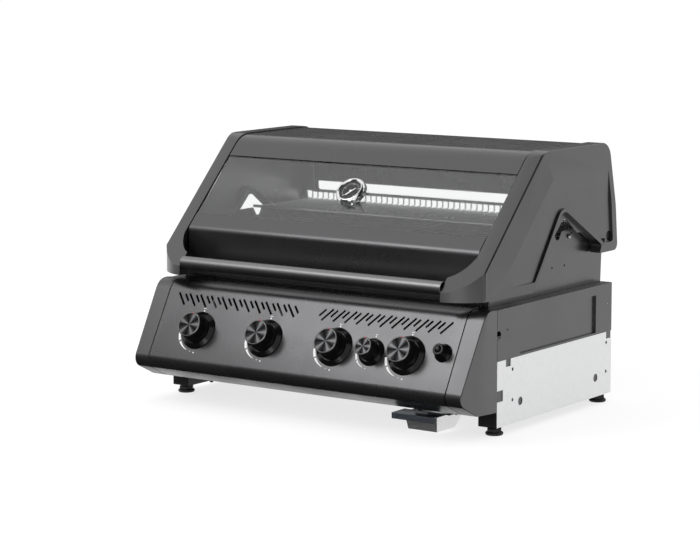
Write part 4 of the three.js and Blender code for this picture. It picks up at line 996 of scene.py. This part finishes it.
# The two bands along the arc, as their angles in degrees and their widths at both ends
SHORT_BAND_TURNS = (190, 212)
SHORT_BAND_WIDTHS = (4.6 * MM, 5.4 * MM)
LONG_BAND_TURNS = (216, 250)
LONG_BAND_FROM = 4.4 * MM
LONG_BAND_TO = 0.8 * MM
BAND_STEPS = 8
END_DOT_R = 0.9 * MM
END_DOT_STEPS = 12
END_DOT_TURN = 263
LAST_DOT_SHARE = 0.8
LAST_DOT_OUT = 1.7 * MM
LAST_DOT_TURN = 274.5


def arc_band(radius, turns, wide_start, wide_end):
    """The outline of a band along an arc about the knob, its width changing evenly."""
    outer, inner = [], []
    for i in range(BAND_STEPS + 1):
        turn = turns[0] + (turns[1] - turns[0]) * i / BAND_STEPS
        half = (wide_start + (wide_end - wide_start) * i / BAND_STEPS) / 2
        outer.append(polar(radius + half, turn))
        inner.append(polar(radius - half, turn))
    return outer + inner[::-1]


def knob_marks(knob):
    marks = SMALL_MARKS if knob == "small" else LARGE_MARKS
    radius, scale = marks["arc"], marks["scale"]
    x, y = marks["dot"]
    low = y + BAR_UP * scale
    half = BAR_HALF * scale
    outlines = [
        ring_points(DOT_R * scale, DOT_STEPS, marks["dot"]),
        [(x - half, low), (x + half, low), (x + half, low + BAR_TALL), (x - half, low + BAR_TALL)],
        arc_band(radius, SHORT_BAND_TURNS, SHORT_BAND_WIDTHS[0] * scale, SHORT_BAND_WIDTHS[1] * scale),
        arc_band(radius, LONG_BAND_TURNS, LONG_BAND_FROM * scale, LONG_BAND_TO),
        ring_points(END_DOT_R, END_DOT_STEPS, polar(radius, END_DOT_TURN)),
    ]
    if knob != "small":
        last = polar(radius + LAST_DOT_OUT, LAST_DOT_TURN)
        outlines.append(ring_points(DOT_R * LAST_DOT_SHARE, DOT_STEPS, last))
    pieces = [slab("mark", outline, 0, sizes().print_rise) for outline in outlines]
    printed = joined("printed_marks_" + knob, pieces)
    place(printed, axis_matrix(*knob_seat(knob)))
    finish(printed, "body", "anthracite_coat", finish_of("marks"))


SCREW_R = 4.5 * MM
SCREW_TOP = 3.2 * MM
SCREW_SUNK = 0.4 * MM
CROSS = (SCREW_R * 1.1, SCREW_R * 0.22, SCREW_TOP * 0.9)
CROSS_TURN = 20


def screw_recess(name, matrix, slot, coat):
    """A domed screw with a cross recess, seated on the sheet."""
    head = turned(name, [
        (0, -SCREW_SUNK), (SCREW_R, -SCREW_SUNK), (SCREW_R, 0.3 * MM), (SCREW_R * 0.9, SCREW_TOP * 0.45),
        (SCREW_R * 0.7, SCREW_TOP * 0.75), (SCREW_R * 0.42, SCREW_TOP * 0.94), (SCREW_R * 0.2, SCREW_TOP),
        (0, SCREW_TOP)], SMALL_STEPS, ROUND_SHADING)
    place(head, matrix)
    for turn in (CROSS_TURN, CROSS_TURN + 90):
        clear_selection()
        bpy.ops.mesh.primitive_cube_add(size=1, scale=CROSS)
        bar = named(bpy.context.object, "cross_cutter")
        across = Matrix.Rotation(math.radians(turn), 4, "Z")
        place(bar, matrix @ Matrix.Translation((0, 0, SCREW_TOP)) @ across)
        hold(head)
        cut = head.modifiers.new("Cross recess", "BOOLEAN")
        cut.operation = "DIFFERENCE"
        cut.solver = "EXACT"
        cut.object = bar
        bpy.ops.object.modifier_apply(modifier=cut.name)
        bpy.data.objects.remove(bar)
    finish(head, "body", slot, finish_of(coat))


# Control panel

PANEL_SCREW_X = 251 * MM
PANEL_SCREW_Y = -205.5 * MM
PANEL_SCREW_SUNK = 0.2 * MM
PANEL_WALL = 3 * MM
PANEL_NEAR = 0.1 * MM
PANEL_MARGIN = 8 * MM
PANEL_END_SHORT = 0.9 * MM
# A pierced face has more corners than this, and its normal at least one share of the panel's direction,
# of which a slot's wall has at most the other
PIERCED = 8
ALONG = 0.999
ACROSS = 0.05


class GRILL_OT_panel(bpy.types.Operator):
    """Folded control panel with its cast ends and printed marks"""

    bl_idname = "mesh.grill_panel"
    bl_label = "Control panel"

    def execute(self, context):
        low, high = corners("control_panel")
        # The black material is painted shade on the slot walls and on the end castings' walls beside the seams
        coat_node("control_panel", sizes().sheet_fold, finish_of("anthracite"), finish_of("black"),
                  prepare=ease_panel, mend=refill_panel, **WIDE_BENDS)
        for side in SIDES:
            coat_node("panel_end_" + side, sizes().cast_edge, finish_of("cast"), finish_of("black"),
                      segments=CAST_SEGMENTS, shading=ROUND_SHADING, shortest=PANEL_END_SHORT,
                      prepare=lambda piece: paint_seam_shade(piece, high.x))
        for knob in KNOBS:
            knob_marks(knob)
        for side in SIDES:
            spot = (side_of(side) * PANEL_SCREW_X, PANEL_SCREW_Y, low.z + PANEL_SCREW_SUNK)
            matrix = axis_matrix(spot, (0, 0, -1))
            screw_recess("panel_screw_" + side, matrix, SLOT_OF["control_panel"], "cast")
        return {"FINISHED"}


def refill_panel(piece):
    """Fills the panel's two pierced planes anew, so that no face laps over a slot."""
    face_point, out = knob_seat("4")
    for outwards in (1, -1):
        def is_pierced(face):
            flat = face.normal.dot(out) * outwards > ALONG and len(face.verts) > PIERCED
            return flat and abs((face.calc_center_median() - face_point).dot(out)) < PANEL_WALL

        pick(piece, "FACE", is_pierced)
        bpy.ops.mesh.delete(type="FACE")
        pick(piece, "EDGE", lambda each: len(each.link_faces) == 1)
        bpy.ops.mesh.fill(use_beauty=True)
    face_outwards()


def ease_panel(piece):
    """Opens the seams beside the panel's ends, and widens its slots and paints their walls black as painted shade.
    """
    draw_in_ends(piece)
    face_point, out = knob_seat("4")
    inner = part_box("control_panel")[1][0] - PANEL_MARGIN

    def in_slot(face):
        spot = face.calc_center_median()
        depth = (spot - face_point).dot(out)
        is_wall = abs(face.normal.dot(out)) < ACROSS
        return is_wall and -PANEL_WALL < depth < PANEL_NEAR and abs(spot.x) < inner

    if paint_shade_black(piece, in_slot):
        bpy.ops.transform.shrink_fatten(value=-sizes().slot_ease)


# Knobs, drawn about their own axis with height zero on the panel's face

BIG_KNOB = {"cap": 25 * MM, "body": 27 * MM, "skirt": 28.5 * MM, "top": 35 * MM, "bezel": 39 * MM,
            "bezel_top": 30.5 * MM}
SMALL_KNOB = {"cap": 17.5 * MM, "body": 19 * MM, "skirt": 20 * MM, "top": 34 * MM, "bezel": 27.5 * MM,
              "bezel_top": 21.75 * MM}
SMALL_FLUTES = 0.75
# A flute takes the middle two of its columns of points, from under the waist to under the top
FLUTE_COLUMNS = 4
FLUTE_LOW = 4.5 * MM
FLUTE_HIGH = 3 * MM
KNOB_FOOT = 7 * MM
KNOB_WAIST = 17 * MM
STEM_CLEAR = 4.3 * MM
STEM_TOP = 26.3 * MM
CAP_SUNK = 1.8 * MM
CAP_FLOOR = 0.8 * MM
CAP_RIM_IN = 1.9 * MM
CAP_RIM_LOW = 1 * MM
POINTER_LEAN = -38
POINTER_STEPS = 20
SEAT = 0.3 * MM
BEZEL_RIM = 2.5 * MM
BEZEL_HIGH = 7 * MM


def cap_uv(piece, radius):
    """Lays the cap's face flat in its UV map, with the knob's axis in the middle."""
    while piece.data.uv_layers:
        piece.data.uv_layers.remove(piece.data.uv_layers[0])
    layer = piece.data.uv_layers.new(name="Cap")
    for loop in piece.data.loops:
        x, y, _ = piece.data.vertices[loop.vertex_index].co
        layer.data[loop.index].uv = (0.5 + x / (2 * radius), 0.5 + y / (2 * radius))


def knob_grip(knob, flutes):
    cap, body, skirt, top = knob["cap"], knob["body"], knob["skirt"], knob["top"]
    seat = top - CAP_SUNK
    profile = [
        (STEM_CLEAR, KNOB_FOOT), (skirt - 0.4 * MM, KNOB_FOOT), (skirt, KNOB_FOOT + 0.4 * MM),
        (skirt, KNOB_FOOT + 1.6 * MM), (body + 0.5 * MM, KNOB_FOOT + 4 * MM), (body, KNOB_WAIST - 4 * MM),
        (body - 0.1 * MM, KNOB_WAIST - 3 * MM), (cap + 0.9 * MM, top - 3.2 * MM),
        (cap + 0.8 * MM, top - 2.4 * MM), (cap + 0.4 * MM, seat), (cap - 2 * MM, seat), (0, seat),
        (0, STEM_TOP), (STEM_CLEAR, STEM_TOP), (STEM_CLEAR, KNOB_FOOT)]
    columns = flutes * FLUTE_COLUMNS
    piece = lathe("knob_grip", profile, columns)

    def in_flute(vertex):
        x, y, z = vertex.co
        column = round((math.atan2(y, x) / (2 * math.pi)) * columns) % FLUTE_COLUMNS
        on_side = math.hypot(x, y) > cap and KNOB_WAIST - FLUTE_LOW < z < top - FLUTE_HIGH
        return on_side and column in (1, 2)

    edit(piece)
    pick(piece, "VERT", in_flute)
    share = sizes().flute_share
    bpy.ops.transform.resize(value=(share, share, 1), center_override=(0, 0, 0))
    done()
    smooth(piece, CRISP_SHADING)
    return piece


def knob_cap(knob):
    cap, top = knob["cap"], knob["top"]
    floor = top - CAP_FLOOR
    piece = lathe("knob_cap", [
        (0, top - 1.75 * MM), (cap + 0.35 * MM, top - 1.75 * MM), (cap + 0.75 * MM, top - 1.3 * MM),
        (cap - 0.5 * MM, top - 0.1 * MM), (cap - 0.8 * MM, top), (cap - 1.3 * MM, top),
        (cap - 1.7 * MM, top - 0.5 * MM), (cap - 2 * MM, floor), (0, floor)], DIAL_STEPS)
    cap_uv(piece, cap)
    paint(piece, finish_of("cap"), finish_of("handle"))
    for face in piece.data.polygons:
        reach = max(math.hypot(*piece.data.vertices[i].co[:2]) for i in face.vertices)
        is_rim = reach > cap - CAP_RIM_IN or face.center.z < top - CAP_RIM_LOW
        face.material_index = 1 if is_rim else 0
    smooth(piece, CRISP_SHADING)
    return piece


def pointer_dot(knob):
    piece = turned("knob_dot", [
        (0, -1 * MM), (1.5 * MM, -1 * MM), (1.6 * MM, 0.2 * MM), (1.1 * MM, 0.55 * MM),
        (0, 0.65 * MM)], POINTER_STEPS)
    spot = Matrix.Translation((0.8 * MM, knob["cap"] + 0.1 * MM, knob["top"] - 0.7 * MM))
    place(piece, spot @ Matrix.Rotation(math.radians(POINTER_LEAN), 4, "X"))
    return piece


def bezel_cone(knob):
    inner = knob["skirt"] + 0.6 * MM
    outer, top = knob["bezel"], knob["bezel_top"]
    return turned("knob_bezel", [
        (inner, SEAT), (outer - 0.3 * MM, SEAT), (outer, SEAT + 0.4 * MM), (outer, BEZEL_RIM - 0.4 * MM),
        (outer - 0.5 * MM, BEZEL_RIM + 0.1 * MM), (top + 0.3 * MM, BEZEL_HIGH - 0.3 * MM),
        (top - 0.2 * MM, BEZEL_HIGH), (inner + 0.3 * MM, BEZEL_HIGH), (inner, BEZEL_HIGH - 0.3 * MM),
        (inner, SEAT)], DIAL_STEPS, CRISP_SHADING)


class GRILL_OT_knobs(bpy.types.Operator):
    """Fluted knobs with spun caps, pointer dots and bezels"""

    bl_idname = "mesh.grill_knobs"
    bl_label = "Knobs"

    def execute(self, context):
        flutes = sizes().flutes
        for kind, names, count in ((BIG_KNOB, KNOBS[:4], flutes),
                                   (SMALL_KNOB, KNOBS[4:], round(flutes * SMALL_FLUTES))):
            models = {"grip": knob_grip(kind, count), "cap": knob_cap(kind), "dot": pointer_dot(kind),
                      "bezel": bezel_cone(kind)}
            for knob in names:
                made = {part: add_object(f"turned_{part}_{knob}", model.data.copy())
                        for part, model in models.items()}
                matrix = axis_matrix(*knob_seat(knob))
                for piece in made.values():
                    place(piece, matrix)
                finish(made["grip"], "knob_" + knob, "knob_black", finish_of("knob satin"),
                       stands_for=("knob_" + knob,))
                finish(made["cap"], "knob_" + knob, "steel", finish_of("cap"), finish_of("handle"))
                finish(made["dot"], "knob_" + knob, "knob_black", finish_of("red"))
                finish(made["bezel"], "body", "knob_black", finish_of("knob"),
                       stands_for=("knob_bezel_" + knob,))
                paint(NODES["knob_stem_" + knob], finish_of("steel"))
            for model in models.values():
                bpy.data.objects.remove(model)
        return {"FINISHED"}


IGNITER_FOOT_R = 18 * MM
IGNITER_NOSE_R = 12 * MM
IGNITER_TOP = 22 * MM
BUTTON_R = 6 * MM
BUTTON_BASE = -8 * MM
BUTTON_TOP = 26 * MM
BUTTON_STEPS = 48


class GRILL_OT_igniter(bpy.types.Operator):
    """Push igniter: its housing and its button"""

    bl_idname = "mesh.grill_igniter"
    bl_label = "Igniter"

    def execute(self, context):
        face_point, out = knob_seat("4")
        low, high = corners("igniter_button")
        middle = (low + high) / 2
        matrix = axis_matrix(middle - out * (middle - face_point).dot(out), out)
        inner = BUTTON_R + 0.6 * MM
        housing = turned("igniter_shell", [
            (inner, SEAT), (IGNITER_FOOT_R, SEAT), (IGNITER_FOOT_R, 2.2 * MM),
            (IGNITER_FOOT_R - 0.8 * MM, 3.2 * MM), (IGNITER_NOSE_R + 3.4 * MM, 7 * MM),
            (IGNITER_NOSE_R + 1.2 * MM, 13 * MM), (IGNITER_NOSE_R, 19 * MM),
            (IGNITER_NOSE_R - 0.6 * MM, IGNITER_TOP - 0.8 * MM), (IGNITER_NOSE_R - 1.8 * MM, IGNITER_TOP),
            (inner + 0.6 * MM, IGNITER_TOP), (inner, IGNITER_TOP - 0.6 * MM),
            (inner, SEAT)], DIAL_STEPS, CRISP_SHADING)
        button = turned("igniter_cap", [
            (0, BUTTON_BASE), (BUTTON_R - 0.4 * MM, BUTTON_BASE), (BUTTON_R, BUTTON_BASE + 0.4 * MM),
            (BUTTON_R, BUTTON_TOP - 2.4 * MM), (BUTTON_R - 0.4 * MM, BUTTON_TOP - 1.2 * MM),
            (BUTTON_R - 1.4 * MM, BUTTON_TOP - 0.4 * MM), (BUTTON_R - 3 * MM, BUTTON_TOP - 0.1 * MM),
            (0, BUTTON_TOP)], BUTTON_STEPS, ROUND_SHADING)
        for name, piece in (("igniter_housing", housing), ("igniter_button", button)):
            place(piece, matrix)
            finish(piece, BODY_OF[name], "knob_black", finish_of("knob"), stands_for=(name,))
        return {"FINISHED"}


# Body

HINGE_SCREW = (142.6 * MM, 346.1 * MM)
HINGE_SCREW_SUNK = 0.3 * MM


class GRILL_OT_body(bpy.types.Operator):
    """Firebox, side panels, galvanised plates and floor frame"""

    bl_idname = "mesh.grill_body"
    bl_label = "Body"

    def execute(self, context):
        fold = sizes().sheet_fold
        for side in SIDES:
            coat_node("side_panel_" + side, fold, finish_of("anthracite"))
            coat_node("side_plate_" + side, fold, finish_of("zinc"))
            coat_node("firebox_side_" + side, fold, finish_of("anthracite"))
            coat_node("hinge_pin_" + side, fold, finish_of("black"))
        for name, coat in (("firebox_front", "anthracite"), ("firebox_rear", "anthracite"),
                           ("rear_panel", "zinc"), ("base_frame", "black"), ("grease_pan", "steel")):
            coat_node(name, fold, finish_of(coat))
        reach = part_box("firebox_side_right")[1][0] - HINGE_SCREW_SUNK
        for side in SIDES:
            out = side_of(side)
            matrix = axis_matrix((out * reach, *HINGE_SCREW), (out, 0, 0), Vector((0, 1, 0)))
            screw_recess("hinge_screw_" + side, matrix, SLOT_OF["firebox_side_left"], "steel")
        return {"FINISHED"}


# A levelling foot from its sole up: a disc, a hexagon nut, a collar and a threaded stud

FOOT_STEPS = 48
COLLAR_STEPS = 32
FOOT_R = 17 * MM
NUT_R = 15 * MM
STUD_R = 4 * MM
COLLAR_R = 7 * MM
DISC_TOP = 6.5 * MM
NUT_TOP = 12.5 * MM
NUT_CROWN = 0.7 * MM
NUT_INSET = 1.6 * MM
COLLAR_FROM = 13 * MM
COLLAR_TOP = 16.5 * MM
LAP = 0.1 * MM
EASE = 0.4 * MM
THREAD_PITCH = 1.25 * MM
THREAD_DEPTH = 0.5 * MM


def foot_nut():
    piece = slab("foot_nut", ring_points(NUT_R, 6), DISC_TOP - LAP, NUT_TOP)
    edit(piece)
    pick(piece, "FACE", lambda face: face.normal.z > FACING)
    bpy.ops.mesh.inset(thickness=NUT_INSET, depth=0)
    bpy.ops.transform.translate(value=(0, 0, NUT_CROWN))
    done()
    return piece


def foot_stud(tall):
    height = COLLAR_TOP - LAP
    profile = [(0, height)]
    while height + THREAD_PITCH < tall - 1 * MM:
        profile += [(STUD_R - THREAD_DEPTH, height), (STUD_R, height + THREAD_PITCH / 2)]
        height += THREAD_PITCH
    profile += [(STUD_R - THREAD_DEPTH, height), (STUD_R - 1 * MM, tall), (0, tall)]
    return turned("foot_stud", profile, SMALL_STEPS, ROUND_SHADING)


class GRILL_OT_feet(bpy.types.Operator):
    """Feet with a disc, a hexagon nut and a threaded stud"""

    bl_idname = "mesh.grill_feet"
    bl_label = "Levelling feet"

    def execute(self, context):
        low, high = corners("foot_front_right")
        disc = turned("foot_disc", [
            (0, 0), (FOOT_R - 1.6 * MM, 0), (FOOT_R, 1.6 * MM), (FOOT_R, 4.4 * MM),
            (FOOT_R - 1.4 * MM, 5.9 * MM), (NUT_R - 1 * MM, DISC_TOP), (0, DISC_TOP)],
            FOOT_STEPS, ROUND_SHADING)
        nut = foot_nut()
        collar = turned("foot_collar", [
            (0, COLLAR_FROM), (COLLAR_R - EASE, COLLAR_FROM), (COLLAR_R, COLLAR_FROM + EASE),
            (COLLAR_R, COLLAR_TOP - EASE), (COLLAR_R - EASE, COLLAR_TOP), (0, COLLAR_TOP)],
            COLLAR_STEPS, ROUND_SHADING)
        foot = joined("foot_model", [disc, nut, collar, foot_stud(high.z - low.z)])
        for corner in ("front_left", "front_right", "rear_left", "rear_right"):
            start, end = corners("foot_" + corner)
            copy = add_object("threaded_foot_" + corner, foot.data.copy())
            place(copy, Matrix.Translation(((start.x + end.x) / 2, (start.y + end.y) / 2, start.z)))
            finish(copy, "foot_" + corner, "foot_black", finish_of("foot"), stands_for=("foot_" + corner,))
        bpy.data.objects.remove(foot)
        return {"FINISHED"}


TRAY_FOLD = 0.3 * MM


class GRILL_OT_tray(bpy.types.Operator):
    """Pull-out grease tray and its folded handle"""

    bl_idname = "mesh.grill_tray"
    bl_label = "Drip tray"

    def execute(self, context):
        coat_node("drip_tray", TRAY_FOLD, finish_of("tray"))
        coat_node("drip_tray_handle", sizes().sheet_fold, finish_of("mirror"))
        return {"FINISHED"}


# Cooking parts

GRATE_EDGE = 1.2 * MM
RACK_ROD = 6 * MM
RACK_BEND = 4 * MM
RACK_BEND_STEPS = 4
RACK_WIRE_SIDES = 8
TOP_ROD_SHARE = 1.2
RACK_SIDE = 17 * MM
CLIP_IN = 5 * MM
UNDER_IN = 6 * MM


class GRILL_OT_cooking(bpy.types.Operator):
    """Grates, flame tamers, burners and the warming rack"""

    bl_idname = "mesh.grill_cooking"
    bl_label = "Cooking parts"

    def execute(self, context):
        for side in SIDES:
            coat_node("grate_" + side, GRATE_EDGE, finish_of("iron"))
        for index in range(1, 5):
            coat_node(f"flame_tamer_{index}", sizes().sheet_fold, finish_of("steel"))
            paint(NODES[f"burner_{index}"], finish_of("steel"))
        paint(NODES["sear_burner"], finish_of("steel"))
        paint(NODES["gas_manifold"], finish_of("brass"))
        warming_rack()
        return {"FINISHED"}


def bent_wire(radius, front, rear, top):
    """One wire from the front rod to the rear and up, bent in a round corner."""
    clear_selection()
    bpy.ops.mesh.primitive_circle_add(vertices=RACK_WIRE_SIDES, radius=radius, fill_type="NGON")
    piece = named(bpy.context.object, "rack_wire")
    place(piece, axis_matrix(front, (0, 1, 0)))
    edit(piece)
    bpy.ops.mesh.extrude_region_move(TRANSFORM_OT_translate={"value": (0, rear - RACK_BEND - front.y, 0)})
    bpy.ops.mesh.spin(steps=RACK_BEND_STEPS, angle=-math.pi / 2, axis=(1, 0, 0),
                      center=(front.x, rear - RACK_BEND, front.z + RACK_BEND))
    bpy.ops.mesh.extrude_region_move(TRANSFORM_OT_translate={"value": (0, 0, top - front.z - RACK_BEND)})
    face_outwards()
    done()
    smooth(piece, WIRE_SHADING)
    paint(piece, finish_of("wire"))
    return piece


def warming_rack():
    size = sizes()
    low, high = corners("warming_rack")
    wire = size.rack_wire / 2
    base = low.z + RACK_ROD / 2
    floor = low.z + wire + RACK_ROD / 2
    count = int((high.x - RACK_SIDE) * 2 / size.rack_pitch) + 1
    half = (count - 1) * size.rack_pitch / 2
    reach = half + wire
    front = low.y + RACK_ROD / 2
    rear = high.y - wire
    wires = bent_wire(wire, Vector((-half, front, floor)), rear, high.z - wire)
    hold(wires)
    row = wires.modifiers.new("Row of wires", "ARRAY")
    row.count = count
    row.use_relative_offset = False
    row.use_constant_offset = True
    row.constant_offset_displace = (size.rack_pitch, 0, 0)
    bpy.ops.object.modifier_apply(modifier=row.name)
    # Each rod: where it starts and ends along the grill, its depth, its height and its radius
    runs = [
        (low.x, high.x, front, base, RACK_ROD / 2),
        (-reach, reach, rear - UNDER_IN, floor - wire * 2, wire),
        (-reach, reach, rear, high.z - wire, wire * TOP_ROD_SHARE),
        (low.x, -half, rear - CLIP_IN, base, RACK_ROD / 2),
        (half, high.x, rear - CLIP_IN, base, RACK_ROD / 2),
    ]
    # The rods take the dark handle steel rather than the wires' finish, as painted shade on the rack's rods
    rods = [rod("rack_rod", *run) for run in runs]
    for each in rods:
        paint(each, finish_of("handle"))
    rack = joined("wire_warming_rack", [wires] + rods)
    finish(rack, "body", "chrome", finish_of("wire"), finish_of("handle"), stands_for=("warming_rack",))


# Stage

CAMERA_SPOT = Vector((2.7068, -3.88813, 0.9431))
CAMERA_YAW = math.radians(35.40)
CAMERA_PITCH = math.radians(8.37)
CAMERA_ROLL = math.radians(-0.14)
SENSOR = 36
FOCAL_PIXELS = 2394.3
PHOTO_WIDTH = 700
CLIP_END = 100


def camera():
    data = bpy.data.cameras.new("Photo camera")
    viewer = add_object("Photo camera", data)
    ahead = Vector((-math.sin(CAMERA_YAW) * math.cos(CAMERA_PITCH),
                    math.cos(CAMERA_YAW) * math.cos(CAMERA_PITCH), -math.sin(CAMERA_PITCH)))
    right = Vector((math.cos(CAMERA_YAW), math.sin(CAMERA_YAW), 0))
    up = right.cross(ahead)
    side = right * math.cos(CAMERA_ROLL) + up * math.sin(CAMERA_ROLL)
    top = up * math.cos(CAMERA_ROLL) - right * math.sin(CAMERA_ROLL)
    matrix = Matrix((side, top, -ahead)).transposed().to_4x4()
    matrix.translation = CAMERA_SPOT
    viewer.matrix_world = matrix
    data.sensor_width = SENSOR
    data.lens = FOCAL_PIXELS / PHOTO_WIDTH * SENSOR
    data.clip_end = CLIP_END
    bpy.context.scene.camera = viewer


# Each lamp: its name, the setting of its power, its place, where it aims, and its width
LAMPS = [
    ("Soft key", "key_power", Vector((-1.25, -2.1, 2.25)), Vector((0, -0.2, 0.2)), 1.7),
    ("Front glint", "glint_power", Vector((0.15, -2.9, 0.5)), Vector((0, -0.2, 0.15)), 0.5),
]


def lamp(name, power, spot, target, size):
    data = bpy.data.lights.new(name, "AREA")
    data.shape = "SQUARE"
    data.size = size
    data.energy = power
    turn = (target - spot).to_track_quat("-Z", "Y").to_matrix().to_4x4()
    add_object(name, data).matrix_world = Matrix.Translation(spot) @ turn


def backdrop_rays(tree):
    """One for a ray from the camera, off metal or through glass, and nought for the light on things."""
    rays = put(tree, "ShaderNodeLightPath")
    either = put(tree, "ShaderNodeMath", operation="MAXIMUM")
    any_of = put(tree, "ShaderNodeMath", operation="MAXIMUM")
    connect(tree, (rays, "Is Camera Ray", either, 0), (rays, "Is Glossy Ray", either, 1),
            (either, "Value", any_of, 0), (rays, "Is Transmission Ray", any_of, 1))
    return any_of


def room_light(strength):
    """Even light from all sides, with plain white behind it."""
    world = bpy.data.worlds.new("Studio")
    bpy.context.scene.world = world
    world.use_nodes = True
    tree = world.node_tree
    light = tree.nodes["Background"]
    preset(light, {"Color": (1, 1, 1, 1), "Strength": strength})
    seen = put(tree, "ShaderNodeBackground", {"Color": (1, 1, 1, 1), "Strength": 1})
    share = backdrop_rays(tree)
    mix_out(tree, "World Output", (share, "Value"), (light, "Background"), (seen, "Background"))


CARD_FADE_FROM = 0.3
MATT = {"Roughness": 0.9, "Specular IOR Level": 0}
# Each card: its name, middle, lean in degrees, width and height, and its tones at its foot and its head
FLAGS = [
    ("flag_front", (-1.3896, -2.156, 0.88), (90, 0, -35.4), (2.0, 1.76), (0.03, 0.7)),
    ("flag_low", (-0.75, -1.28, 0.002), (0, 0, 0), (2.4, 2.17), (0.06, 0.03)),
    ("flag_right", (2.3, -0.85, 2.1), (90, 0, 90), (3.1, 4.2), (0.03, 0.03)),
    ("flag_over", (1.0, -0.85, 3.4), (0, 0, 0), (2.6, 3.1), (0.03, 0.03)),
    ("flag_back", (-1.6, 2.3, 1.0), (90, 0, 35.4), (2.6, 1.1), (0.12, 0.12)),
]


def flag(name, spot, lean, size, tones):
    """A dark card that only reflections see, as a photographer sets one up."""
    clear_selection()
    bpy.ops.mesh.primitive_plane_add(size=1)
    card = bpy.context.object
    card.name = name
    turn = Matrix.Rotation(math.radians(lean[2]), 4, "Z") @ Matrix.Rotation(math.radians(lean[0]), 4, "X")
    place(card, Matrix.Translation(spot) @ turn @ Matrix.Diagonal((*size, 1, 1)))
    material, tree, shader = new_material("Studio card")
    where = put(tree, "ShaderNodeTexCoord")
    split = put(tree, "ShaderNodeSeparateXYZ")
    span = {"From Min": CARD_FADE_FROM, "To Min": tones[0], "To Max": tones[1]}
    rise = put(tree, "ShaderNodeMapRange", span, interpolation_type="SMOOTHSTEP")
    connect(tree, (where, "UV", split, "Vector"), (split, "Y", rise, "Value"),
            (rise, "Result", shader, "Base Color"))
    preset(shader, MATT)
    card.data.materials.append(material)
    card.visible_camera = False
    card.visible_diffuse = False
    card.visible_transmission = False
    card.visible_volume_scatter = False
    card.visible_shadow = False


FLOOR_SIZE = 40
FLOOR_GLOW = 1.2
FLOOR_GLOW_SHARE = 0.62


def floor_material(tone):
    """A pale floor that shows white to the camera and still takes the shadow."""
    material, tree, shader = new_material("Pale floor")
    preset(shader, {"Base Color": (*tone, 1), **MATT})
    glow = put(tree, "ShaderNodeEmission", {"Strength": FLOOR_GLOW})
    share = put(tree, "ShaderNodeMath", {1: FLOOR_GLOW_SHARE}, operation="MULTIPLY")
    connect(tree, (backdrop_rays(tree), "Value", share, 0))
    mix_out(tree, "Material Output", (share, "Value"), (shader, "BSDF"), (glow, "Emission"))
    return material


class GRILL_OT_stage(bpy.types.Operator):
    """Floor, room light, soft lamp and camera"""

    bl_idname = "scene.grill_stage"
    bl_label = "Stage"

    def execute(self, context):
        stage = context.scene.grill_stage
        clear_selection()
        bpy.ops.mesh.primitive_plane_add(size=FLOOR_SIZE)
        floor = context.object
        floor.name = "floor"
        floor.data.materials.append(floor_material(stage.floor))
        room_light(stage.fill)
        for name, power, spot, target, size in LAMPS:
            lamp(name, getattr(stage, power), spot, target, size)
        for card in FLAGS:
            flag(*card)
        camera()
        context.scene.view_settings.view_transform = "Standard"
        return {"FINISHED"}


# Panel and registration

OPERATORS = [GRILL_OT_stage, GRILL_OT_lid, GRILL_OT_handle, GRILL_OT_thermometer, GRILL_OT_panel,
             GRILL_OT_knobs, GRILL_OT_igniter, GRILL_OT_body, GRILL_OT_feet, GRILL_OT_tray, GRILL_OT_cooking]


class GRILL_PT_pieces(bpy.types.Panel):
    bl_idname = "GRILL_PT_pieces"
    bl_label = "Built-in gas grill"
    bl_space_type = "VIEW_3D"
    bl_region_type = "UI"
    bl_category = "Grill"

    def draw(self, context):
        for operator in OPERATORS:
            self.layout.operator(operator.bl_idname)


GROUPS = {"grill_sizes": GrillSizes, "grill_colours": GrillColours, "grill_stage": GrillStage}


def register():
    for name, group in GROUPS.items():
        bpy.utils.register_class(group)
        setattr(bpy.types.Scene, name, bpy.props.PointerProperty(type=group))
    for operator in OPERATORS:
        bpy.utils.register_class(operator)
    bpy.utils.register_class(GRILL_PT_pieces)


def unregister():
    bpy.utils.unregister_class(GRILL_PT_pieces)
    for operator in reversed(OPERATORS):
        bpy.utils.unregister_class(operator)
    for name, group in reversed(GROUPS.items()):
        delattr(bpy.types.Scene, name)
        bpy.utils.unregister_class(group)


def main():
    register()
    bpy.ops.scene.grill_stage()
    bpy.ops.mesh.grill_lid()
    bpy.ops.mesh.grill_handle()
    bpy.ops.mesh.grill_thermometer()
    bpy.ops.mesh.grill_panel()
    bpy.ops.mesh.grill_knobs()
    bpy.ops.mesh.grill_igniter()
    bpy.ops.mesh.grill_body()
    bpy.ops.mesh.grill_feet()
    bpy.ops.mesh.grill_tray()
    bpy.ops.mesh.grill_cooking()
    clear_selection()


if __name__ == "__main__":
    main()
